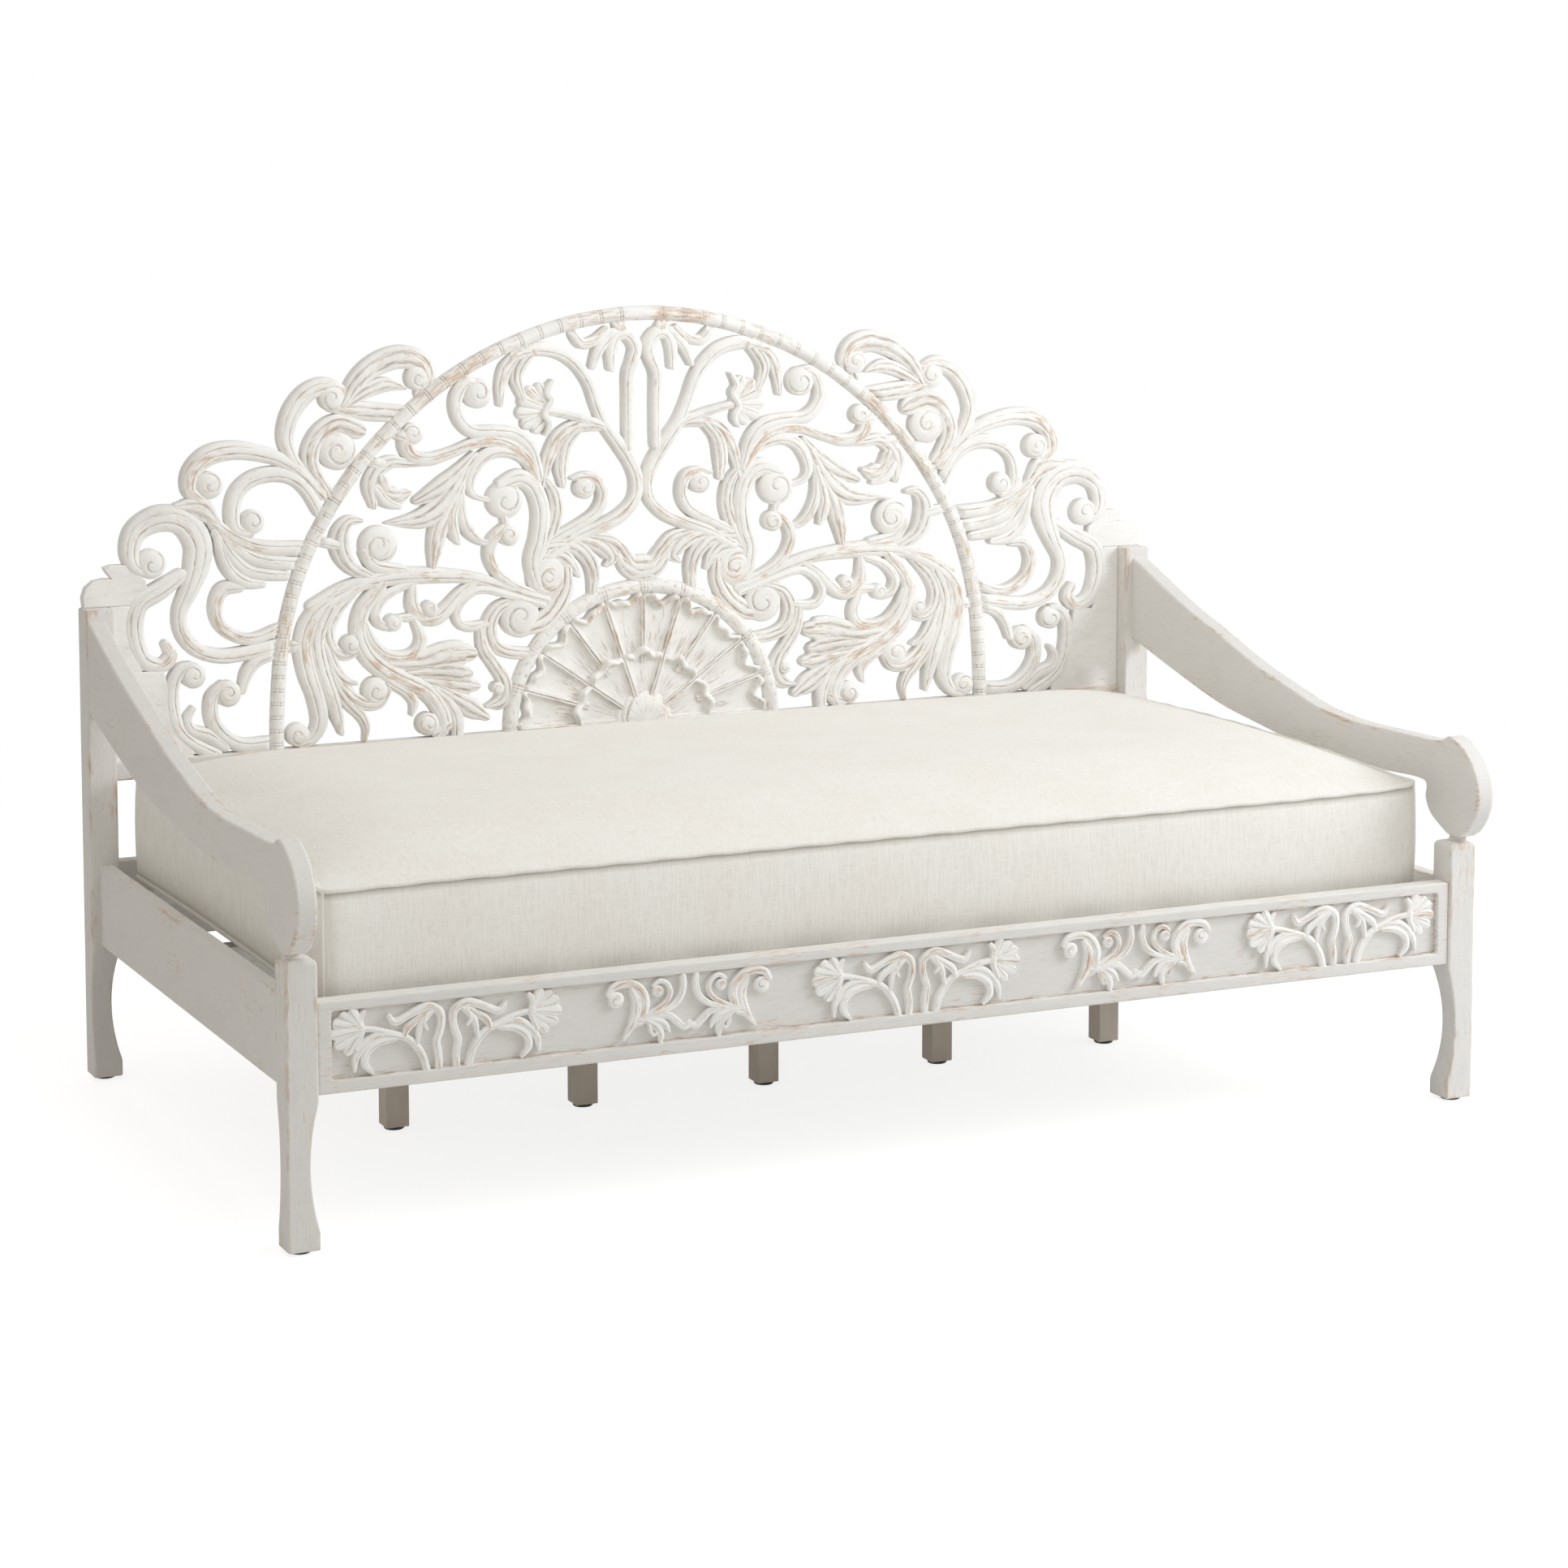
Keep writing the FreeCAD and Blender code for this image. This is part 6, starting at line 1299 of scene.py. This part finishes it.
FLOWER_MIDDLES, SCROLL_MIDDLES = (-792.0, -6.0, 783.0), (-397.5, 392.0)

# %% The relief on the rail
RELIEF_FLAT = 0.9


def relief(name, stems, buds, middle, seed):
    """Both halves of one motif, sunk a little into the field and just under the border's face."""
    front, back = rail_low[1] - 0.8, rail_low[1] + FIELD_DEEP + 1.2
    shells = []
    for side in (-1, 1):
        for at, rows in enumerate(stems):
            shells.append(stem(rows, front, back, 0.12 * (at * 5 % 7), is_leaf(rows), pace=2.6,
                               deep=RELIEF_FLAT, seed=seed * 20 + at, side=side, middle=middle, ground=0.0))
        for at, (x, z, radius) in enumerate(buds):
            one = bud(x, z, radius, front, back, side, turns=1.1, seed=at, deep=RELIEF_FLAT, columns=30)
            one["points"][:, 0] += middle
            shells.append(one)
    return make_piece(name, shells, carved_whitewash)


for at, middle in enumerate(FLOWER_MIDDLES):
    relief("rail_flower_%d" % (at + 1), FLOWER_STEMS, FLOWER_BUDS, middle, at + 1)
for at, middle in enumerate(SCROLL_MIDDLES):
    relief("rail_scroll_%d" % (at + 1), SCROLL_STEMS, SCROLL_BUDS, middle, at + 5)

# %% [markdown]
# ## The mattress
# A thick foam mattress in a sewn cover. The cover is a box of six panels: its seams are stiff cords, so its
# edges stay nearly straight, while the panels between them swell. That is just what a cloth simulation with a
# little pressure inside gives, when the seams are pinned. The box is worked out first on a lattice: the plan is a
# rectangle whose corner squares are mapped to quarter discs, and whose sides pull in between the corners.

# %% A lattice box for the cover
mattress_low, mattress_high = node_box("mattress")
mattress_half, mattress_middle = (mattress_high - mattress_low)[:2] / 2, (mattress_low + mattress_high) / 2
MATTRESS_EDGE, MATTRESS_CROWN = 179.0, 60.0
COVER_EASE = 4.0
CORNER_ROUND, SIDE_DRAW = 26.0, 7.0
CORNER_DIP, CORNER_LEAN, SIDE_BOW, BACK_BOW = -2.0, 6.0, 20.0, 12.0
WALL_ROWS = np.array([0, 0.03, 0.1, 0.22, 0.37, 0.52, 0.68, 0.82, 0.92, 0.975, 1.0])
LATTICE = (132, 70, len(WALL_ROWS) - 1)


def lattice_box(steps):
    """Corner numbers of a box's surface. Every lattice node on the surface is one vertex, so all seams close."""
    keys, (ny, nz) = [], steps[1:]
    for axis, limit in enumerate(steps):
        p, q = (axis + 1) % 3, (axis + 2) % 3
        for end in (0, limit):
            a, b = np.meshgrid(np.arange(steps[p]), np.arange(steps[q]), indexing="ij")
            corners = [(0, 0), (1, 0), (1, 1), (0, 1)]
            corners = corners if end else corners[::-1]
            node = np.zeros(a.shape + (4, 3), int)
            node[..., axis] = end
            for at, (da, db) in enumerate(corners):
                node[..., at, p], node[..., at, q] = a + da, b + db
            keys.append(node.reshape(-1, 4, 3))
    node = np.concatenate(keys)
    label = (node[..., 0] * (ny + 1) + node[..., 1]) * (nz + 1) + node[..., 2]
    unique, where = np.unique(label, return_inverse=True)
    places = np.stack([unique // ((ny + 1) * (nz + 1)), unique // (nz + 1) % (ny + 1), unique % (nz + 1)], axis=-1)
    return places, where.reshape(-1, 4)


def cover_plan(u, v, half_long, half_deep):
    """Plan of the cover at u, v from -1 to 1. In the corner squares (dx, dy) becomes
    (dx sqrt(1 - dy^2/2), dy sqrt(1 - dx^2/2)); each side then moves in by d (1 - w^2) along its length w."""
    x, y = u * half_long, v * half_deep
    dx = np.clip((np.abs(x) - half_long + CORNER_ROUND) / CORNER_ROUND, 0, 1)
    dy = np.clip((np.abs(y) - half_deep + CORNER_ROUND) / CORNER_ROUND, 0, 1)
    round_x = half_long - CORNER_ROUND + CORNER_ROUND * dx * np.sqrt(1 - dy ** 2 / 2)
    round_y = half_deep - CORNER_ROUND + CORNER_ROUND * dy * np.sqrt(1 - dx ** 2 / 2)
    x = np.where(dx * dy > 0, np.sign(x) * round_x, x)
    y = np.where(dx * dy > 0, np.sign(y) * round_y, y)
    return x - u * SIDE_DRAW * (1 - v ** 2), y - v * SIDE_DRAW * (1 - u ** 2)


def seam_height(u, v):
    """Height of the top edge over the slats. It dips at the corners by 1 - |x|^12 along each side, and rises in the
    middle of the short sides and of the back, where the filling pushes it up."""
    along = np.minimum(np.abs(u), np.abs(v))
    side_bow = SIDE_BOW * eased((np.abs(u) - 0.6) / 0.4) * (1 - v ** 2) ** 0.8
    back_bow = BACK_BOW * eased((v - 0.2) / 0.8) * (1 - u ** 4)
    return MATTRESS_EDGE - (CORNER_DIP - CORNER_LEAN * u) * along ** 12 + side_bow + back_bow


def cover_shape(places):
    """The cover before it is filled: seams at the top and bottom edges, walls between them drawn in a little. Rows
    lie closer together towards the seams: u (1.25 - u^2/4)."""
    u, v = (2 * places[:, at] / LATTICE[at] - 1 for at in (0, 1))
    u, v = (share * (1.25 - 0.25 * share ** 2) for share in (u, v))
    w = WALL_ROWS[places[:, 2]]
    x, y = cover_plan(u, v, mattress_half[0] + COVER_EASE, mattress_half[1])
    z = mattress_low[2] + seam_height(u, v) * w
    return np.stack([x + mattress_middle[0], y + mattress_middle[1], z], axis=-1), u, v, w


cover_nodes, cover_quads = lattice_box(LATTICE)
cover_points, cover_u, cover_v, cover_w = cover_shape(cover_nodes)
print("Cover lattice:", len(cover_points), "points,", len(cover_quads), "quads")

# %% [markdown]
# The cloth is pinned at both seams and under the mattress, where it lies on the slats. Air pressure fills it in
# twenty frames with no gravity. A soft cap, c tanh(move / c), keeps each point within 12 mm of its start.

# %% Fill the cover
FILL_FRAMES, FILL_PRESSURE, MOVE_CAP = 20, 4.0, 12.0
THREAD_STIFF, CLOTH_BEND = 40, 2.0
SEWN_CROWN = 0.85


def filled_by_cloth(points, quads, pinned):
    """Run Blender's cloth on a scratch mesh and return where its points went."""
    mesh = bpy.data.meshes.new("cover_scratch")
    mesh.from_pydata((points * TO_METRES).tolist(), [], quads.tolist())
    scratch = bpy.data.objects.new("cover_scratch", mesh)
    bpy.context.scene.collection.objects.link(scratch)
    group = scratch.vertex_groups.new(name="seams")
    group.add(np.nonzero(pinned)[0].tolist(), 1.0, "REPLACE")
    cloth = scratch.modifiers.new("fill", "CLOTH")
    cloth.settings.vertex_group_mass = "seams"
    cloth.settings.use_pressure = True
    cloth.settings.uniform_pressure_force = FILL_PRESSURE
    cloth.settings.tension_stiffness = cloth.settings.compression_stiffness = THREAD_STIFF
    cloth.settings.bending_stiffness = CLOTH_BEND
    cloth.settings.effector_weights.gravity = 0
    cloth.point_cache.frame_start, cloth.point_cache.frame_end = 1, FILL_FRAMES
    for step in range(1, FILL_FRAMES + 1):
        bpy.context.scene.frame_set(step)
    result = scratch.evaluated_get(bpy.context.evaluated_depsgraph_get())
    moved = np.empty(len(points) * 3, np.float32)
    result.data.vertices.foreach_get("co", moved)
    bpy.data.objects.remove(scratch)
    bpy.data.meshes.remove(mesh)
    bpy.context.scene.frame_set(1)
    return moved.reshape(-1, 3).astype(float) / TO_METRES


on_seam = (cover_w == 1) & ((np.abs(cover_u) == 1) | (np.abs(cover_v) == 1))
on_slats = cover_w == 0
plain_crown = np.where(cover_w == 1, MATTRESS_CROWN * (1 - np.abs(cover_u) ** 9) * (1 - np.abs(cover_v) ** 6), 0)
swelling = np.zeros_like(cover_points)
cover_points[:, 2] += SEWN_CROWN * plain_crown
swelling = filled_by_cloth(cover_points, cover_quads, on_seam | on_slats) - cover_points
print("Cloth moved the cover by up to", round(float(np.abs(swelling).max()), 1), "mm")
size = np.linalg.norm(swelling, axis=1, keepdims=True)
swelling *= MOVE_CAP * np.tanh(size / MOVE_CAP) / np.maximum(size, 1e-6)

# %% [markdown]
# Sewn foam is never quite smooth. Small puckers run in from the welt and fade within 30 mm; their waves come
# from sines of different lengths along the seam. The welt itself is a cord in a fold of the cover, swept along
# the top and the bottom edge, and a thin seam runs down each corner.

# %% Puckers, welts and corner seams
WELT_RADIUS, WELT_INSET, BOTTOM_WELT, CORNER_CORD = 4.2, 1.0, 0.03, 0.6
JUST_INSIDE = np.array([0.9999])


def puckers(along, near):
    """Uneven small waves along a seam, fading with distance: a sum of sines of about 60, 37 and 23 mm."""
    wave = np.sin(along / 9.5) + 0.7 * np.sin(along / 5.9 + 1.3) + 0.5 * np.sin(along / 3.7 + 0.4)
    return wave * near


def finished_cover(points):
    """The filled cover with its puckers, before it is smoothed."""
    low, high = mattress_low, mattress_high
    to_side_x = np.minimum(points[:, 0] - low[0], high[0] - points[:, 0])
    to_side_y = np.minimum(points[:, 1] - low[1], high[1] - points[:, 1])
    side_gap = np.minimum(to_side_x, to_side_y)
    along = np.where(to_side_y < to_side_x, points[:, 0], points[:, 1])
    top = cover_w == 1
    out = points.copy()
    gathered = puckers(along, 0.4 * np.exp(-side_gap / 22)) - 3.5 * np.exp(-side_gap / 6)
    out[:, 2] += np.where(top & ~on_seam, gathered, 0)
    drift = 1.5 * np.sin(points[:, 0] / 170 + 0.5) * np.sin(points[:, 1] / 140) * eased(side_gap / 90)
    out[:, 2] += np.where(top, drift, 0)
    beside = np.exp(-(1 - cover_w) * MATTRESS_EDGE / 7) + np.exp(-cover_w * MATTRESS_EDGE / 7)
    swell = np.sin(math.pi * cover_w) ** 0.7 * 3.0 + puckers(along, 0.35 * beside)
    outwards = np.where(cover_w * (1 - cover_w) > 0, swell - 5.5 * beside, 0)
    out[:, 0] += np.where(np.abs(cover_u) == 1, np.sign(cover_u) * outwards, 0)
    out[:, 1] += np.where(np.abs(cover_v) == 1, np.sign(cover_v) * outwards, 0)
    return out


cover_points = finished_cover(cover_points + swelling)
# Painted shade: the groove note darkens the cover's colour on the top seam, in the row just under the top welt, and
# on the bottom face and lowest wall row that sit on the slats.
crease = np.where(on_seam, 1.0, 0.0) + np.where((cover_w < 1) & (cover_w > 0.97), 0.7, 0.0)
cover = shell(cover_points, cover_quads, groove=crease + 0.8 * (cover_w < 0.05), flow=cover_points)
mattress = make_piece("mattress_cover", cover, cover_cloth, ["mattress"], "mattress")
rounding = mattress.modifiers.new("soften", "SUBSURF")
rounding.levels = rounding.render_levels = 1


def seam_path(share, inset=0.0, count=900):
    """A closed line round the cover's edge at a share of its height, following the plan's own formula."""
    turn = np.arange(count) * FULL_TURN / count
    square = np.stack([np.cos(turn), np.sin(turn)], axis=-1)
    square /= np.abs(square).max(axis=1, keepdims=True)
    x, y = cover_plan(square[:, 0], square[:, 1], mattress_half[0] + COVER_EASE - inset,
                      mattress_half[1] - inset)
    wobble = 0.8 * np.sin(x / 31 + 1) * np.sin(y / 23) + 0.6 * np.sin((x + y) / 12.5)
    z = mattress_low[2] + seam_height(square[:, 0], square[:, 1]) * share + wobble * share
    return np.stack([x + mattress_middle[0], y + mattress_middle[1], z], axis=-1)


def corner_seams():
    """Four flat cords from the bottom seam to the top one, a little proud of the round corners."""
    cords = []
    for sx in (-1, 1):
        for sy in (-1, 1):
            x, y = cover_plan(sx * JUST_INSIDE, sy * JUST_INSIDE, *(mattress_half + [COVER_EASE, 0]))
            rise = np.linspace(BOTTOM_WELT, 1.0, 40)
            lean = 2.0 * np.sin(math.pi * rise)
            top = seam_height(np.array([sx * 1.0]), np.array([sy * 1.0]))
            cords.append(np.stack([x + mattress_middle[0] + sx * lean, y + mattress_middle[1] + sy * lean,
                                   mattress_low[2] + top * rise], axis=-1))
    return cords


def welt(path, radius, columns=10, closed=True):
    """A cord swept along a path: the ring's two directions are the path's sideways normal and the upright."""
    ahead = unit(np.roll(path, -1, axis=0) - np.roll(path, 1, axis=0) if closed else np.gradient(path, axis=0))
    upright = np.abs(ahead[:, 2]).mean() > 0.7
    third = np.array([1.0, 0, 0]) if upright else np.array([0, 0, 1.0])
    side = unit(np.cross(third, ahead))
    a = full_circle(columns)[..., None]
    rings = path[:, None] + radius * (np.cos(a) * side[:, None] + np.sin(a) * third)
    walked = np.concatenate([[0.0], np.cumsum(np.linalg.norm(np.diff(path, axis=0), axis=1))])
    flow = np.stack([walked[:, None] + 0 * rings[..., 0], radius * a[..., 0] + 0 * rings[..., 0],
                     rings[..., 2]], axis=-1)
    rings = np.concatenate([rings, rings[:1]]) if closed else rings
    flow = np.concatenate([flow, flow[:1]]) if closed else flow
    return loft(rings, flow=flow, capped=not closed)


welts = [welt(seam_path(share, WELT_INSET), WELT_RADIUS) for share in (1.0, BOTTOM_WELT)]
welts += [welt(path, CORNER_CORD * WELT_RADIUS, closed=False) for path in corner_seams()]
welt_piece = make_piece("mattress_welts", welts, cover_cloth, (), "mattress")

# %% [markdown]
# ## Hidden woodwork
# The slats, the cleats they lie on and the beam under them are plain sawn sticks, so their measured solids are
# right as they are. They only need paint.

# %% Paint the hidden solids
shown_solids = [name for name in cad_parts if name.startswith(("slat_", "ledger_", "centre_beam"))]
for name in shown_solids:
    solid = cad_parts[name]
    for at in range(len(solid.material_slots)):
        solid.material_slots[at].material = hidden_whitewash
print("Painted", len(shown_solids), "hidden solids")

# %% [markdown]
# ## Floor, light and camera
# The studio floor and background are plain white. The floor is lit like everything else, and for camera rays a
# part of its light is its own, so that it looks white and still keeps a faint shadow of the daybed. The world
# is white to the camera and a soft grey light for the rest. The main lamp is a large soft box to the right,
# in front and high. A second one hangs over the daybed, and a weak warm one on the left fills the shaded sides.

# %% White floor and background
SEEN_RAYS = ("Is Camera Ray", "Is Glossy Ray", "Is Transmission Ray")
FLOOR_GLOW, FLOOR_REACH, FLOOR_FADE = 0.79, 30.0, (1.6, 3.2)
WORLD_COLOUR, WORLD_STRENGTH = "#F6F3ED", 0.53


def seen_share(tree):
    """1 for rays that the viewer follows straight or by a mirror, 0 for the soft light that bounces round."""
    path = add_node(tree, "ShaderNodeLightPath")
    camera, glossy, through = (path.outputs[ray] for ray in SEEN_RAYS)
    both = add_node(tree, MATH, {"operation": "MAXIMUM"}, i0=camera, i1=glossy)
    return add_node(tree, MATH, {"operation": "MAXIMUM"}, i0=both, i1=through)


def white_floor():
    """White paint whose shadow is kept, brightened for seen rays until unshaded floor is white."""
    material = bpy.data.materials.new("white_studio_floor")
    material.use_nodes = True
    tree = material.node_tree
    tree.nodes.clear()
    paint = add_node(tree, "ShaderNodeBsdfDiffuse", {"Color": linear("#F4F4F4")})
    faint = add_node(tree, "ShaderNodeBsdfDiffuse", {"Color": linear("#B4B4B4")})
    glow = add_node(tree, "ShaderNodeEmission", {"Color": linear("#FFFFFF"), "Strength": FLOOR_GLOW})
    white = add_node(tree, "ShaderNodeEmission", {"Color": linear("#FFFFFF"), "Strength": 1.0})
    near = add_node(tree, "ShaderNodeAddShader", None, i0=faint, i1=glow)
    place = add_node(tree, "ShaderNodeTexCoord").outputs["Object"]
    away = add_node(tree, "ShaderNodeVectorMath", {"operation": "LENGTH"}, i0=place).outputs["Value"]
    fade = add_node(tree, RANGE, ramp(*FLOOR_FADE), Value=away)
    seen = add_node(tree, "ShaderNodeMixShader", None, Fac=fade, i1=near, i2=white)
    mix = add_node(tree, "ShaderNodeMixShader", None, Fac=seen_share(tree), i1=paint, i2=seen)
    add_node(tree, "ShaderNodeOutputMaterial", Surface=mix)
    return material


floor_mesh = bpy.data.meshes.new("studio_floor")
floor_mesh.from_pydata([(-FLOOR_REACH, -FLOOR_REACH, 0), (FLOOR_REACH, -FLOOR_REACH, 0),
                        (FLOOR_REACH, FLOOR_REACH, 0), (-FLOOR_REACH, FLOOR_REACH, 0)], [], [(0, 1, 2, 3)])
floor = bpy.data.objects.new("studio_floor", floor_mesh)
floor.data.materials.append(white_floor())
bpy.context.scene.collection.objects.link(floor)

world = bpy.data.worlds.new("white_studio")
world.use_nodes = True
bpy.context.scene.world = world
world.node_tree.nodes.clear()
soft_light = add_node(world.node_tree, "ShaderNodeBackground",
                      {"Color": linear(WORLD_COLOUR), "Strength": WORLD_STRENGTH})
white_seen = add_node(world.node_tree, "ShaderNodeBackground", {"Color": linear("#FFFFFF"), "Strength": 1.0})
sky = add_node(world.node_tree, "ShaderNodeMixShader", None, Fac=seen_share(world.node_tree), i1=soft_light,
               i2=white_seen)
add_node(world.node_tree, "ShaderNodeOutputWorld", Surface=sky)
print("Floor and background are white; light from the world is soft")

# %% Lamps
def soft_box(name, place, aim, size, power, colour="#FFFFFF"):
    """A square area lamp at a place in metres, turned to face a point."""
    lamp = bpy.data.lights.new(name, "AREA")
    lamp.shape, lamp.size, lamp.energy, lamp.color = "SQUARE", size, power, linear(colour)[:3]
    holder = bpy.data.objects.new(name, lamp)
    bpy.context.scene.collection.objects.link(holder)
    holder.location = place
    towards = np.array(aim) - np.array(place)
    holder.rotation_euler = (math.atan2(math.hypot(towards[0], towards[1]), -towards[2]), 0.0,
                             math.atan2(towards[1], towards[0]) - FULL_TURN / 4)
    return holder


OBJECT_MIDDLE = (0.0, 0.1, 0.6)
soft_box("main_soft_box", (3.5, -2.1, 2.4), OBJECT_MIDDLE, 1.8, 100, "#F6F9FF")
soft_box("top_fill", (0.0, -1.0, 3.2), OBJECT_MIDDLE, 2.0, 22)
soft_box("left_fill", (-3.2, -1.0, 1.7), OBJECT_MIDDLE, 1.6, 3, "#FFE6C8")

# %% [markdown]
# The photograph was taken with a long lens from the left front, a little above the daybed. The lens and the place
# were solved from points measured on the picture. Part of the framing is a shift of the lens, as on a
# view camera, which keeps upright lines nearly upright.

# %% Camera
PICTURE_WIDE = 1932
FOCAL_PIXELS, SENSOR_WIDE = 4779.842, 36.0
CAMERA_PLACE = (-2719.25, -5907.573, 1753.952)
CAMERA_YAW, CAMERA_PITCH, CAMERA_ROLL = 24.837, 6.013, 0.034
LENS_CENTRE_ROW = 580.0

camera_data = bpy.data.cameras.new("camera")
camera_data.sensor_width = SENSOR_WIDE
camera_data.lens = FOCAL_PIXELS / PICTURE_WIDE * SENSOR_WIDE
camera_data.shift_y = (LENS_CENTRE_ROW - PICTURE_WIDE / 2) / PICTURE_WIDE
camera = bpy.data.objects.new("camera", camera_data)
bpy.context.scene.collection.objects.link(camera)
camera.location = [value * TO_METRES for value in CAMERA_PLACE]
camera.rotation_mode = "XYZ"
camera.rotation_euler = (math.radians(90 - CAMERA_PITCH), math.radians(CAMERA_ROLL), math.radians(-CAMERA_YAW))
bpy.context.scene.camera = camera
bpy.context.scene.view_settings.view_transform = "Standard"
print("Lens", round(camera_data.lens, 2), "mm, shift", round(camera_data.shift_y, 3))
